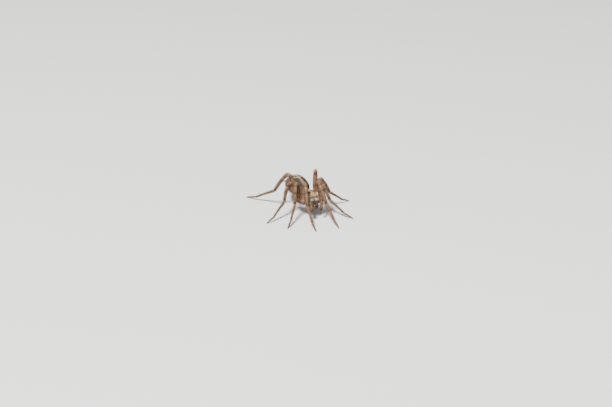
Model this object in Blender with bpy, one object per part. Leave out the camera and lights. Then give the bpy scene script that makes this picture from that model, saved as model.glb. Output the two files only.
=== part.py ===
"""Funnel weaver spider at life size, standing still on its eight feet.

The spider faces -Y and its feet rest on the plane z = 0. Lengths and places are in
millimetres, seen from the middle of the waist on the floor, and MM turns them into metres.
"""

import math

import bmesh
import bpy
from mathutils import Vector
from mathutils.bvhtree import BVHTree

MM = 0.001

# Clear distance between pieces that touch on the animal
GAP = 0.3
EYE_GAP = 0.05

# Where the waist stands, so that the model's box is centred on the origin
WAIST = Vector((0.0, 1.34, 0.0))

# Carapace and sternum, by places from the face to the waist
BODY_Y = (-5.5, -5.0, -4.4, -3.6, -2.5, -1.4, -0.6, -0.32)
BODY_HALF_WIDTH = (1.06, 1.16, 1.20, 1.52, 1.82, 1.66, 1.08, 0.80)
BODY_TOP = (4.72, 4.92, 4.98, 4.88, 4.74, 4.52, 4.10, 3.92)
BODY_EDGE = (4.05, 3.80, 3.60, 3.45, 3.38, 3.38, 3.42, 3.44)
BODY_BOTTOM = (3.80, 3.40, 2.75, 2.28, 2.15, 2.28, 2.72, 3.00)
BODY_TUCK = 0.42
FACE_ROUNDING = 0.50
REAR_ROUNDING = 0.34

# Abdomen, by shares of its length from the waist to the spinnerets
ABDOMEN_FRONT = 0.24
ABDOMEN_LENGTH = 7.2
ABDOMEN_LEAN = 0.60
ABDOMEN_SHARE = (0.0, 0.12, 0.30, 0.52, 0.72, 0.88, 1.0)
ABDOMEN_HALF_WIDTH = (1.30, 1.66, 2.02, 2.18, 1.98, 1.46, 0.95)
ABDOMEN_TOP = (4.90, 5.42, 5.84, 5.90, 5.55, 4.85, 4.25)
ABDOMEN_BOTTOM = (2.70, 2.32, 2.02, 1.92, 2.05, 2.35, 2.65)
ABDOMEN_FRONT_ROUNDING = 0.95
ABDOMEN_REAR_ROUNDING = 0.85

# Waist between the two
WAIST_GAP = 0.2
WAIST_RADIUS = 0.34
WAIST_Z = 3.46

# Legs: femur, patella, tibia, metatarsus and tarsus lengths from the first pair to the last
LEG_LENGTHS = {
    1: (4.7, 1.9, 3.9, 4.2, 2.4),
    2: (4.4, 1.8, 3.4, 3.9, 2.2),
    3: (4.1, 1.6, 3.0, 4.1, 2.0),
    4: (5.1, 1.8, 4.4, 5.6, 2.5),
}
LEG_THICKNESS = {1: 1.0, 2: 0.97, 3: 0.92, 4: 1.0}
COXA_ROOT = {
    1: (0.72, -4.06, 2.88),
    2: (0.90, -3.18, 2.82),
    3: (0.90, -2.30, 2.82),
    4: (0.75, -1.44, 2.88),
}
FEMUR_ROOT = {
    1: (2.12, -4.92, 3.00),
    2: (2.58, -3.72, 2.98),
    3: (2.60, -2.34, 2.98),
    4: (2.10, -0.92, 3.00),
}

# How the outer leg bends after the knee, in degrees at the knee, tibia, metatarsus and tarsus
LEG_BENDS = (0.0, -12.0, 26.0, 12.0)

# How far each segment bows off its straight line
LEG_BOWS = (0.16, 0.0, 0.10, 0.06, 0.05)
KNEE_ROUNDING = 0.56
BOW_ROUNDING = 9.0

# Where each foot stands, and how far its leg's plane leans
FEET = {
    ("right", 1): ((-2.75, -13.3), -8.0),
    ("right", 2): ((-7.3, -9.7), 9.5),
    ("right", 3): ((-10.1, -5.5), 21.0),
    ("right", 4): ((-8.5, 10.4), -2.0),
    ("left", 1): ((2.1, -13.3), 11.5),
    ("left", 2): ((6.8, -9.4), -1.0),
    ("left", 3): ((10.1, 0.5), -9.5),
    ("left", 4): ((7.3, 10.6), 0.0),
}
FOOT_HEIGHT = 0.06
FOOT_RADIUS = 0.20

# Jaws, fangs and feelers
JAW_ROOT = (0.57, -5.02, 4.10)
JAW_TIP = (0.50, -5.86, 2.20)
PALP_ROOT = (0.70, -4.72, 2.80)
PALP_JOINTS = {
    "right": (
        (1.40, -5.02, 2.92), (1.58, -6.02, 3.66), (1.33, -6.76, 3.55), (1.20, -7.12, 2.93),
        (1.00, -7.32, 2.08),
    ),
    "left": (
        (1.40, -5.02, 2.92), (1.50, -5.98, 3.62), (1.10, -6.70, 3.47), (0.98, -7.04, 2.85),
        (0.82, -7.20, 2.02),
    ),
}
PALP_RADII = (0.26, 0.27, 0.27, 0.29, 0.27, 0.27, 0.24)

# Eyes: distance from the middle, height on the face, and radius
EYES = {
    "front_middle": (0.21, 4.50, 0.135),
    "front_side": (0.50, 4.30, 0.150),
    "rear_middle": (0.27, 4.80, 0.150),
    "rear_side": (0.70, 4.56, 0.150),
}

SIDES = {"right": -1.0, "left": 1.0}
LEG_SIDES = 10

COLOURS = {
    "carapace": ((0.16, 0.095, 0.05), 0.6),
    "waist": ((0.22, 0.13, 0.07), 0.6),
    "abdomen": ((0.15, 0.11, 0.08), 0.85),
    "leg": ((0.30, 0.18, 0.10), 0.65),
    "palp": ((0.26, 0.14, 0.08), 0.65),
    "jaw": ((0.09, 0.035, 0.02), 0.45),
    "fang": ((0.04, 0.012, 0.008), 0.25),
    "eye": ((0.012, 0.01, 0.012), 0.12),
    "spinneret": ((0.36, 0.25, 0.15), 0.7),
}

for old in list(bpy.data.objects):
    bpy.data.objects.remove(old, do_unlink=True)


# Shape tools

def material(kind):
    """The plain material of one kind of piece, made once."""
    found = bpy.data.materials.get(kind)
    if found:
        return found
    colour, roughness = COLOURS[kind]
    made = bpy.data.materials.new(kind)
    made.use_nodes = True
    shader = made.node_tree.nodes["Principled BSDF"]
    shader.inputs["Base Color"].default_value = (*colour, 1.0)
    shader.inputs["Roughness"].default_value = roughness
    shader.inputs["Metallic"].default_value = 0.0
    return made


def smooth_value(places, values, at):
    """The value at a place on a smooth curve through the given ones, with no overshoot."""
    at = min(max(at, places[0]), places[-1])
    i = max(k for k in range(len(places) - 1) if places[k] <= at)
    slopes = [(b - a) / (q - p) for p, q, a, b in zip(places, places[1:], values, values[1:])]

    def slope(k):
        if k == 0:
            return slopes[0]
        if k == len(slopes):
            return slopes[-1]
        a, b = slopes[k - 1], slopes[k]
        return 2 * a * b / (a + b) if a * b > 0 else 0.0

    width = places[i + 1] - places[i]
    t = (at - places[i]) / width
    return (
        values[i] * (1 + 2 * t) * (1 - t) ** 2
        + values[i + 1] * t * t * (3 - 2 * t)
        + width * (slope(i) * t * (1 - t) ** 2 - slope(i + 1) * t * t * (1 - t))
    )


def add_object(name, kind, bm):
    """Turn a bmesh in millimetres into an object under the spider's root."""
    bmesh.ops.recalc_face_normals(bm, faces=bm.faces)
    bmesh.ops.scale(bm, vec=(MM, MM, MM), verts=bm.verts)
    mesh = bpy.data.meshes.new(name)
    bm.to_mesh(mesh)
    bm.free()
    mesh.materials.append(material(kind))
    mesh.shade_smooth()
    mesh.set_sharp_from_angle(angle=math.radians(50))
    made = bpy.data.objects.new(name, mesh)
    bpy.context.scene.collection.objects.link(made)
    made.parent = spider
    return made


def skin_rings(rings):
    """A closed bmesh over rings of points; a ring of one point closes that end to a pole."""
    bm = bmesh.new()
    rows = [[bm.verts.new(p) for p in ring] for ring in rings]
    for a, b in zip(rows, rows[1:]):
        count = max(len(a), len(b))
        for k in range(count):
            n = (k + 1) % count
            if len(a) == 1:
                bm.faces.new((a[0], b[k], b[n]))
            elif len(b) == 1:
                bm.faces.new((a[k], b[0], a[n]))
            else:
                bm.faces.new((a[k], b[k], b[n], a[n]))
    for end in (rows[0], rows[-1]):
        if len(end) > 1:
            bm.faces.new(end)
    return bm


def apply_modifiers(piece):
    """Replace a piece's mesh with the one its modifiers give."""
    bpy.context.view_layer.update()
    evaluated = piece.evaluated_get(bpy.context.evaluated_depsgraph_get())
    mesh = bpy.data.meshes.new_from_object(evaluated)
    piece.modifiers.clear()
    piece.data = mesh
    mesh.name = piece.name


def keep_largest(piece):
    """Drop every closed surface of a piece but the one with the most faces."""
    bm = bmesh.new()
    bm.from_mesh(piece.data)
    groups = []
    waiting = set(bm.faces)
    while waiting:
        group = [waiting.pop()]
        for face in group:
            for edge in face.edges:
                for near in edge.link_faces:
                    if near in waiting:
                        waiting.remove(near)
                        group.append(near)
        groups.append(group)
    groups.sort(key=len)
    scraps = [face for group in groups[:-1] for face in group]
    if scraps:
        bmesh.ops.delete(bm, geom=scraps, context="FACES")
        bm.to_mesh(piece.data)
    bm.free()


def clear_of(piece, neighbours, gap=GAP, solver="EXACT"):
    """Trim a piece so that it meets each neighbour face to face across the gap."""
    cutters = []
    for neighbour in neighbours:
        bm = bmesh.new()
        bm.from_mesh(neighbour.data)
        bm.normal_update()
        for vert, normal in [(v, v.normal.copy()) for v in bm.verts]:
            vert.co += normal * gap * MM
        swollen = bpy.data.meshes.new("swollen")
        bm.to_mesh(swollen)
        bm.free()
        cutter = bpy.data.objects.new("swollen", swollen)
        bpy.context.scene.collection.objects.link(cutter)
        cutter.parent = spider
        cutters.append(cutter)
        cut = piece.modifiers.new("clear", "BOOLEAN")
        cut.operation = "DIFFERENCE"
        cut.solver = solver
        cut.object = cutter
    apply_modifiers(piece)
    keep_largest(piece)
    for cutter in cutters:
        bpy.data.objects.remove(cutter, do_unlink=True)


def rounded_path(corners, roundings, step=0.12):
    """Points through the corners, each rounded, and where each rounding starts and ends."""
    points = [corners[0].copy()]
    spans = []
    for before, corner, after, rounding in zip(corners, corners[1:], corners[2:], roundings):
        back = (before - corner).normalized()
        ahead = (after - corner).normalized()
        turn = math.pi - back.angle(ahead)
        if turn < 1e-3:
            spans.append((len(points), len(points)))
            points.append(corner.copy())
            continue
        reach = rounding * math.tan(turn / 2)
        reach = min(reach, 0.6 * (before - corner).length, 0.6 * (after - corner).length)
        radius = reach / math.tan(turn / 2)
        centre = corner + (back + ahead).normalized() * radius / math.cos(turn / 2)
        a = corner + back * reach - centre
        b = corner + ahead * reach - centre
        count = max(3, math.ceil(turn / step))
        spans.append((len(points), len(points) + count))
        for k in range(count + 1):
            t = k / count
            arm = (math.sin((1 - t) * turn) * a + math.sin(t * turn) * b) / math.sin(turn)
            points.append(centre + arm)
    points.append(corners[-1].copy())
    return points, spans


class Path:
    """A centreline that can be read at any length, with a frame carried along it."""

    def __init__(self, points, across):
        self.points = points
        self.lengths = [0.0]
        for a, b in zip(points, points[1:]):
            self.lengths.append(self.lengths[-1] + (b - a).length)
        runs = [(b - a).normalized() for a, b in zip(points, points[1:])]
        self.tangents = [runs[0]] + [(a + b).normalized() for a, b in zip(runs, runs[1:])] + [runs[-1]]
        self.across = [across]
        for tangent in reversed(self.tangents):
            last = self.across[-1]
            self.across.append((last - tangent * last.dot(tangent)).normalized())
        self.across = self.across[:0:-1]
        self.total = self.lengths[-1]

    def read(self, length):
        """Point, tangent and sideways direction at a length."""
        length = min(max(length, 0.0), self.total)
        i = max(k for k in range(len(self.lengths) - 1) if self.lengths[k] <= length)
        t = (length - self.lengths[i]) / max(self.lengths[i + 1] - self.lengths[i], 1e-9)
        tangent = self.tangents[i].lerp(self.tangents[i + 1], t).normalized()
        across = self.across[i].lerp(self.across[i + 1], t)
        across = (across - tangent * across.dot(tangent)).normalized()
        return self.points[i].lerp(self.points[i + 1], t), tangent, across

    def places(self, start, end, count):
        """Lengths from start to end, set closer where the path bends."""
        fine = 200
        steps = [start + (end - start) * k / fine for k in range(fine + 1)]
        weights = [0.0]
        for a, b in zip(steps, steps[1:]):
            bend = self.read(a)[1].angle(self.read(b)[1], 0.0)
            weights.append(weights[-1] + (b - a) + 0.75 * bend)
        found = []
        k = 0
        for n in range(count + 1):
            goal = weights[-1] * n / count
            while k < fine and weights[k + 1] < goal - 1e-9:
                k += 1
            share = (goal - weights[k]) / max(weights[k + 1] - weights[k], 1e-9) if k < fine else 0.0
            found.append(steps[k] + (steps[min(k + 1, fine)] - steps[k]) * share)
        return found


def ring_at(path, length, radius, sides, flat=1.0, shift=0.0):
    """A ring of points round the path, flattened from top to bottom by the given share."""
    centre, tangent, across = path.read(length)
    upright = tangent.cross(across)
    centre = centre + tangent * shift
    return [
        centre
        + across * radius * math.cos(2 * math.pi * k / sides)
        + upright * radius * flat * math.sin(2 * math.pi * k / sides)
        for k in range(sides)
    ]


def tube(name, kind, path, start, end, radius_at, rings, sides=LEG_SIDES, flat=1.0, tip=0.0):
    """A closed length of a limb, cut square at its start and square or round at its end."""
    rows = [ring_at(path, s, radius_at(s), sides, flat) for s in path.places(start, end - tip, rings)]
    if tip:
        wide = radius_at(end - tip)
        for turn in (0.35, 0.7, 1.1):
            length = end - tip + tip * math.sin(turn)
            rows.append(ring_at(path, length, wide * math.cos(turn), sides, flat))
        rows.append([path.read(end)[0]])
    return add_object(name, kind, skin_rings(rows))


spider = bpy.data.objects.new("spider", None)
bpy.context.scene.collection.objects.link(spider)
spider.location = WAIST * MM


# Body: carapace above, sternum below, one closed piece

def rounding_share(distance, reach, power):
    """How far a section has opened at a distance from the end that closes it."""
    if distance >= reach:
        return 1.0
    return (1 - (1 - distance / reach) ** power) ** (1 / power)


def body_section(y, count):
    """A section across the front body: a dome above the edge, tucked in to the sternum below."""
    wide = smooth_value(BODY_Y, BODY_HALF_WIDTH, y)
    top = smooth_value(BODY_Y, BODY_TOP, y)
    edge = smooth_value(BODY_Y, BODY_EDGE, y)
    bottom = smooth_value(BODY_Y, BODY_BOTTOM, y)
    share = rounding_share(y - BODY_Y[0], FACE_ROUNDING, 2.3)
    share *= rounding_share(BODY_Y[-1] - y, REAR_ROUNDING, 2.3)
    middle = 0.5 * (top + bottom)
    ring = []
    for k in range(count):
        turn = 2 * math.pi * k / count
        c, s = math.cos(turn), math.sin(turn)
        x = wide * math.copysign(abs(c) ** 0.9, c)
        if s >= 0:
            z = edge + (top - edge) * s ** 0.92
        else:
            tuck = min(1.0, -s * 1.7)
            x *= 1 - BODY_TUCK * tuck * tuck * (3 - 2 * tuck)
            z = edge - (edge - bottom) * (-s) ** 0.9
        ring.append(Vector((x * share, y, middle + (z - middle) * share)))
    return ring


def spread_places(first, last, start_reach, end_reach, count):
    """Places from first to last, closer together over the two rounded ends."""
    ends = 5
    rows = [first + start_reach * (1 - math.cos(math.pi / 2 * k / ends)) for k in range(1, ends)]
    low, high = first + start_reach, last - end_reach
    rows += [low + (high - low) * k / count for k in range(count + 1)]
    rows += [last - end_reach * (1 - math.cos(math.pi / 2 * k / ends)) for k in range(ends - 1, 0, -1)]
    return rows


body_places = spread_places(BODY_Y[0], BODY_Y[-1], FACE_ROUNDING, REAR_ROUNDING, 14)
body_rows = [body_section(y, 24) for y in body_places]
face = Vector((0, BODY_Y[0], 0.5 * (BODY_TOP[0] + BODY_BOTTOM[0])))
rear = Vector((0, BODY_Y[-1], 0.5 * (BODY_TOP[-1] + BODY_BOTTOM[-1])))
cephalothorax = add_object("cephalothorax", "carapace", skin_rings([[face]] + body_rows + [[rear]]))


# Abdomen: one soft egg, widest behind its middle

def leaned(point):
    """A point of the abdomen, whose front leans forwards over the waist."""
    share = min((point.y - ABDOMEN_FRONT) / (0.5 * ABDOMEN_LENGTH), 1.0)
    lean = ABDOMEN_LEAN * (1 - share * share * (3 - 2 * share))
    return point - Vector((0, lean * (point.z - WAIST_Z), 0))


def abdomen_section(y, count):
    """A section across the abdomen, a little flatter below than above."""
    share = (y - ABDOMEN_FRONT) / ABDOMEN_LENGTH
    wide = smooth_value(ABDOMEN_SHARE, ABDOMEN_HALF_WIDTH, share)
    top = smooth_value(ABDOMEN_SHARE, ABDOMEN_TOP, share)
    bottom = smooth_value(ABDOMEN_SHARE, ABDOMEN_BOTTOM, share)
    close = rounding_share(y - ABDOMEN_FRONT, ABDOMEN_FRONT_ROUNDING, 2.1)
    close *= rounding_share(ABDOMEN_FRONT + ABDOMEN_LENGTH - y, ABDOMEN_REAR_ROUNDING, 2.1)
    low = 0.45
    middle = bottom + (top - bottom) * low
    ring = []
    for k in range(count):
        turn = 2 * math.pi * k / count
        c, s = math.cos(turn), math.sin(turn)
        z = (top - middle) * s if s >= 0 else (middle - bottom) * math.copysign(abs(s) ** 0.94, s)
        ring.append(leaned(Vector((wide * c * close, y, middle + z * close))))
    return ring


def end_pole(row, y):
    """The point that closes a row of the abdomen at one end."""
    return leaned(Vector((0, y, sum(p.z for p in row) / len(row))))


ABDOMEN_REAR = ABDOMEN_FRONT + ABDOMEN_LENGTH
abdomen_places = spread_places(
    ABDOMEN_FRONT, ABDOMEN_REAR, ABDOMEN_FRONT_ROUNDING, ABDOMEN_REAR_ROUNDING, 12
)
abdomen_rows = [abdomen_section(y, 22) for y in abdomen_places]
abdomen_front = end_pole(abdomen_rows[0], ABDOMEN_FRONT)
abdomen_rear = end_pole(abdomen_rows[-1], ABDOMEN_REAR)
abdomen = add_object("abdomen", "abdomen", skin_rings([[abdomen_front]] + abdomen_rows + [[abdomen_rear]]))


# Waist: a short stalk, trimmed to the two faces that it joins

waist_ends = [Vector((0, BODY_Y[-1] - 0.4, WAIST_Z)), Vector((0, ABDOMEN_FRONT + 0.5, WAIST_Z + 0.08))]
waist_path = Path(waist_ends, Vector((1, 0, 0)))
waist = tube("waist", "waist", waist_path, 0.0, waist_path.total, lambda s: WAIST_RADIUS, 3, sides=12)
clear_of(waist, [cephalothorax, abdomen], WAIST_GAP)


# Legs: each a rounded centreline from the body to its foot, cut into four lengths

def leg_corners(side, number):
    """Corners of a leg's centreline: root, femur root, knee, joints and foot, and its plane."""
    mirror = SIDES[side]
    lengths = LEG_LENGTHS[number]
    (foot_x, foot_y), lean = FEET[side, number]
    root = Vector(COXA_ROOT[number])
    hip = Vector(FEMUR_ROOT[number])
    root.x *= mirror
    hip.x *= mirror
    foot = Vector((foot_x, foot_y, FOOT_HEIGHT))
    reach = foot - hip
    ahead = reach.normalized()
    up = (Vector((0, 0, 1)) - ahead * ahead.z).normalized()
    sideways = ahead.cross(up)
    lean = math.radians(lean)
    up = up * math.cos(lean) + sideways * math.sin(lean)

    # Outer leg in its own plane, from the knee outwards
    chain = [(0.0, 0.0)]
    angle = 0.0
    for length, bend in zip(lengths[1:], LEG_BENDS):
        angle += math.radians(bend)
        chain.append((chain[-1][0] + length * math.cos(angle), chain[-1][1] + length * math.sin(angle)))
    chord = math.hypot(*chain[-1])

    # Knee from the femur's length and the chord
    femur = lengths[0]
    cosine = (femur**2 + reach.length**2 - chord**2) / (2 * femur * reach.length)
    knee = hip + femur * (cosine * ahead + math.sqrt(1 - cosine**2) * up)
    along = (foot - knee).normalized()
    above = (up * ahead.dot(along) - ahead * up.dot(along)).normalized()
    turn = -math.atan2(chain[-1][1], chain[-1][0])
    joints = []
    for x, z in chain[1:]:
        u = x * math.cos(turn) - z * math.sin(turn)
        v = x * math.sin(turn) + z * math.cos(turn)
        joints.append(knee + along * u + above * v)
    across = ahead.cross(up).normalized()
    return [root, hip, knee, *joints], across


def leg_path(side, number):
    """A leg's centreline, bowed along each segment, and the lengths where its bends start and end."""
    corners, across = leg_corners(side, number)
    bowed = [corners[0], corners[1]]
    roundings = [KNEE_ROUNDING]
    kept = [0]
    for a, b, bow in zip(corners[1:], corners[2:], LEG_BOWS):
        if bow:
            outwards = across.cross(b - a).normalized()
            bowed.append((a + b) / 2 + outwards * bow)
            roundings.append(BOW_ROUNDING)
        bowed.append(b)
        kept.append(len(roundings))
        roundings.append(KNEE_ROUNDING if b is corners[2] else 0.9)
    points, spans = rounded_path(bowed, roundings)
    path = Path(points, across)
    bends = [(path.lengths[spans[k][0]], path.lengths[spans[k][1]]) for k in kept[:-1]]
    return path, bends


def leg_radius(path, bends, scale):
    """Thickness along a leg: stout coxa, swollen femur, rounded knee, then thinner to the foot."""
    hip, knee, patella, tibia, meta = [(a + b) / 2 for a, b in bends]
    femur = knee - hip
    places = (
        0.0, hip - 0.5, hip, hip + 0.10 * femur, hip + 0.38 * femur, knee - 0.16 * femur, knee,
        (knee + patella) / 2, patella, patella + 0.3 * (tibia - patella), tibia,
        tibia + 0.3 * (meta - tibia), meta, meta + 0.4 * (path.total - meta), path.total,
    )
    values = (
        0.35, 0.41, 0.39, 0.40, 0.49, 0.43, 0.40, 0.43, 0.37, 0.38, 0.31, 0.30, 0.265, 0.26,
        FOOT_RADIUS / scale,
    )
    return lambda s: scale * smooth_value(places, values, s)


def knee_end(path, bends, corners, radius):
    """Where the outer leg starts below the knee, so that the folded leg clears the femur."""
    hip, knee, next_joint = corners[1:4]
    fold = (hip - knee).angle(next_joint - knee)
    clear = (2 * radius(bends[1][0]) + GAP) / (2 * math.sin(fold / 2))
    reach = (path.read(bends[1][0])[0] - knee).length
    return bends[1][0] - max(0.05, clear - reach - GAP)


def flatten_foot(piece):
    """Cut the sole of a foot flat on the floor plane."""
    bm = bmesh.new()
    bm.from_mesh(piece.data)
    geometry = bm.verts[:] + bm.edges[:] + bm.faces[:]
    cut = bmesh.ops.bisect_plane(
        bm, geom=geometry, dist=1e-8, plane_co=(0, 0, 0), plane_no=(0, 0, -1), clear_outer=True
    )
    rim = [e for e in cut["geom_cut"] if isinstance(e, bmesh.types.BMEdge)]
    for vert in {v for e in rim for v in e.verts}:
        vert.co.z = 0.0
    bmesh.ops.holes_fill(bm, edges=rim, sides=0)
    bmesh.ops.recalc_face_normals(bm, faces=bm.faces)
    bm.to_mesh(piece.data)
    bm.free()


for (side, number) in FEET:
    path, bends = leg_path(side, number)
    corners, _ = leg_corners(side, number)
    radius = leg_radius(path, bends, LEG_THICKNESS[number])
    name = f"leg_{side}_{number}_"
    hip_cut = bends[0][1] + 0.06
    knee_cut = knee_end(path, bends, corners, radius)
    ankle_cut = bends[3][0] - 0.02
    coxa = tube(name + "coxa", "leg", path, 0.0, hip_cut, radius, 7)
    clear_of(coxa, [cephalothorax])
    tube(name + "femur", "leg", path, hip_cut + GAP, knee_cut - GAP, radius, 8)
    tube(name + "tibia", "leg", path, knee_cut, ankle_cut - GAP, radius, 16)
    foot = tube(name + "foot", "leg", path, ankle_cut, path.total, radius, 10, tip=FOOT_RADIUS)
    flatten_foot(foot)


# Jaws: two stout upright pieces below the face, each with a fang folded under it

def jaw_radius(share):
    """Thickness down a jaw, fullest a third of the way down."""
    return smooth_value((0.0, 0.35, 0.8, 1.0), (0.41, 0.43, 0.36, 0.29), share)


for side, mirror in SIDES.items():
    top, tip = Vector(JAW_ROOT), Vector(JAW_TIP)
    top.x *= mirror
    tip.x *= mirror
    path, _ = rounded_path([top, top.lerp(tip, 0.5) + Vector((0, -0.12, 0)), tip], [3.0])
    path = Path(path, Vector((1, 0, 0)))
    jaw = tube(
        f"jaw_{side}", "jaw", path, 0.0, path.total, lambda s: jaw_radius(s / path.total),
        9, sides=14, flat=1.12, tip=0.16,
    )
    clear_of(jaw, [cephalothorax])

    # Fang: a short hook from the jaw's lower end in to the middle line
    heel = tip + Vector((0.03 * mirror, 0.02, -0.46))
    point = Vector((0.17 * mirror, tip.y + 0.72, heel.z + 0.10))
    bent = Path(rounded_path([tip.copy(), heel, point], [0.34])[0], Vector((1, 0, 0)))
    fang = tube(
        f"fang_{side}", "fang", bent, 0.0, bent.total,
        lambda s: 0.21 - 0.16 * (s / bent.total) ** 1.2, 9, sides=8, tip=0.05,
    )
    clear_of(fang, [jaw], 0.2)


# Feelers: a mouth lobe at the root, then two lengths of a thin short limb

for side, mirror in SIDES.items():
    root = Vector(PALP_ROOT)
    joints = [Vector(p) for p in PALP_JOINTS[side]]
    for p in (root, *joints):
        p.x *= mirror
    points, spans = rounded_path([root, *joints], [0.36, 0.42, 0.42, 0.5])
    path = Path(points, Vector((1, 0, 0)))
    bends = [(path.lengths[a], path.lengths[b]) for a, b in spans]
    marks = [0.0] + [(a + b) / 2 for a, b in bends]
    places = (*marks[:2], 0.5 * (marks[1] + marks[2]), *marks[2:], path.total)
    radius = lambda s: smooth_value(places, PALP_RADII, s)
    hip_cut = bends[0][1] + 0.05
    knee_cut = bends[1][1] + 0.10

    lobe = bmesh.new()
    bmesh.ops.create_uvsphere(lobe, u_segments=12, v_segments=8, radius=1.0)
    bmesh.ops.scale(lobe, vec=(0.33, 0.46, 0.34), verts=lobe.verts)
    bmesh.ops.translate(lobe, vec=root + Vector((-0.12 * mirror, 0.06, -0.24)), verts=lobe.verts)
    lobe = add_object(f"palp_{side}_base", "palp", lobe)
    hip = tube("palp_hip", "palp", path, 0.0, hip_cut, radius, 5, sides=10)
    join = lobe.modifiers.new("join", "BOOLEAN")
    join.operation = "UNION"
    join.object = hip
    apply_modifiers(lobe)
    bpy.data.objects.remove(hip, do_unlink=True)
    beside = [bpy.data.objects[f"jaw_{side}"], bpy.data.objects[f"leg_{side}_1_coxa"]]
    clear_of(lobe, [cephalothorax, *beside], solver="MANIFOLD")
    tube(f"palp_{side}_upper", "palp", path, hip_cut + GAP, knee_cut - 1.4 * GAP, radius, 8)
    tube(f"palp_{side}_lower", "palp", path, knee_cut, path.total, radius, 11, tip=0.2)


# Eyes: eight small beads, each sunk in a shallow cup of the face

tree = BVHTree.FromPolygons(
    [v.co for v in cephalothorax.data.vertices], [p.vertices for p in cephalothorax.data.polygons]
)
cups = []
for place, (x, z, radius) in EYES.items():
    for side, mirror in SIDES.items():
        hit, normal, _, _ = tree.ray_cast(Vector((x * mirror, -9.0, z)) * MM, Vector((0, 1, 0)))
        centre = hit / MM - normal * radius * 0.3
        for name, size in ((f"eye_{place}_{side}", radius), ("cup", radius + EYE_GAP)):
            bead = bmesh.new()
            bmesh.ops.create_icosphere(bead, subdivisions=2, radius=size)
            bmesh.ops.translate(bead, vec=centre, verts=bead.verts)
            made = add_object(name, "eye", bead)
            if name == "cup":
                cups.append(made)
for cup in cups:
    cut = cephalothorax.modifiers.new("cup", "BOOLEAN")
    cut.operation = "DIFFERENCE"
    cut.object = cup
apply_modifiers(cephalothorax)
keep_largest(cephalothorax)
for cup in cups:
    bpy.data.objects.remove(cup, do_unlink=True)


# Spinnerets: a long two-jointed pair and a short pair at the end of the abdomen

for side, mirror in SIDES.items():
    for name, points, radii, rings in (
        ("long", ((0.46, 6.66, 3.44), (0.62, 8.11, 3.30), (0.82, 9.01, 3.06)), (0.27, 0.25, 0.12), 9),
        ("short", ((0.36, 6.66, 2.86), (0.40, 7.41, 2.56), (0.42, 7.91, 2.36)), (0.26, 0.25, 0.20), 6),
    ):
        corners = [Vector((x * mirror, y, z)) for x, y, z in points]
        bent = Path(rounded_path(corners, [1.2])[0], Vector((1, 0, 0)))
        shape = lambda s: smooth_value((0.0, 0.6, 1.0), radii, s / bent.total)
        piece = tube(f"spinneret_{name}_{side}", "spinneret", bent, 0.0, bent.total, shape, rings, tip=0.12)
        clear_of(piece, [abdomen])
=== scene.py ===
"""Funnel weaver spider at life size, standing still: hard shell, soft abdomen, hairy legs and coat."""

import math

import bmesh
import bpy
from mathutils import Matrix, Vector, noise


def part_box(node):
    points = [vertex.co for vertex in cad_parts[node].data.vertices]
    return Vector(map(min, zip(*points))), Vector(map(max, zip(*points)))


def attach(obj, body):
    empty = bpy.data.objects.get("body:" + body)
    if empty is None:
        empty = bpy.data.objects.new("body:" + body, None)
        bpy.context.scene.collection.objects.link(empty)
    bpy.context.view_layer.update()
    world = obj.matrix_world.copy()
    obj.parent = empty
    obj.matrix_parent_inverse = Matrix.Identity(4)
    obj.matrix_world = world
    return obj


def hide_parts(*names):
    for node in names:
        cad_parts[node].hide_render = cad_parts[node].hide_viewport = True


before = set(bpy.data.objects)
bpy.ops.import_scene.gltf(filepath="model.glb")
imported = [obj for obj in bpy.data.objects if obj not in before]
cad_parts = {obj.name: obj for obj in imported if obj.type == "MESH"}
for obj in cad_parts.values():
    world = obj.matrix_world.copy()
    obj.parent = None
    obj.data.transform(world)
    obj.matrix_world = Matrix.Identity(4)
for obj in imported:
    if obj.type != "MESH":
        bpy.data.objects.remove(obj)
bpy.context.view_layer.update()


# Front body. On the real spider head and chest are one hard shell: a domed carapace above, with
# a short dark groove on its back and furrows that run out to the legs, and a flat heart-shaped
# plate below. It is tanned, finely grained chitin, dark in two broad bands down the back.

MM = 0.001
WAIST = Vector((0.0, 1.34, 0.0))
SHELL_DEPTH = 0.05
BODY_Y = (-5.5, -5.0, -4.4, -3.6, -2.5, -1.4, -0.6, -0.32)
BODY_HALF_WIDTH = (1.06, 1.16, 1.20, 1.52, 1.82, 1.66, 1.08, 0.80)
BODY_TOP = (4.72, 4.92, 4.98, 4.88, 4.74, 4.52, 4.10, 3.92)
BODY_EDGE = (4.05, 3.80, 3.60, 3.45, 3.38, 3.38, 3.42, 3.44)
BODY_BOTTOM = (3.80, 3.40, 2.75, 2.28, 2.15, 2.28, 2.72, 3.00)
BODY_TUCK = 0.42
FACE_ROUNDING = 0.50
REAR_ROUNDING = 0.34
GROOVE_Y = -1.85
FURROWS = ((34.0, 0.085, 2.5), (72.0, 0.055, 1.7), (103.0, 0.055, 1.6), (138.0, 0.05, 1.3))


def smooth_value(places, values, at):
    """The value at a place on a smooth curve through the given ones, with no overshoot."""
    at = min(max(at, places[0]), places[-1])
    i = max(k for k in range(len(places) - 1) if places[k] <= at)
    slopes = [(b - a) / (q - p) for p, q, a, b in zip(places, places[1:], values, values[1:])]

    def slope(k):
        if k == 0:
            return slopes[0]
        if k == len(slopes):
            return slopes[-1]
        a, b = slopes[k - 1], slopes[k]
        return 2 * a * b / (a + b) if a * b > 0 else 0.0

    width = places[i + 1] - places[i]
    t = (at - places[i]) / width
    return (
        values[i] * (1 + 2 * t) * (1 - t) ** 2
        + values[i + 1] * t * t * (3 - 2 * t)
        + width * (slope(i) * t * (1 - t) ** 2 - slope(i + 1) * t * t * (1 - t))
    )


def rise(low, high, at):
    """0 up to low, 1 from high on and a smooth step between, whichever of the two is larger."""
    t = min(max((at - low) / (high - low), 0.0), 1.0)
    return t * t * (3 - 2 * t)


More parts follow.
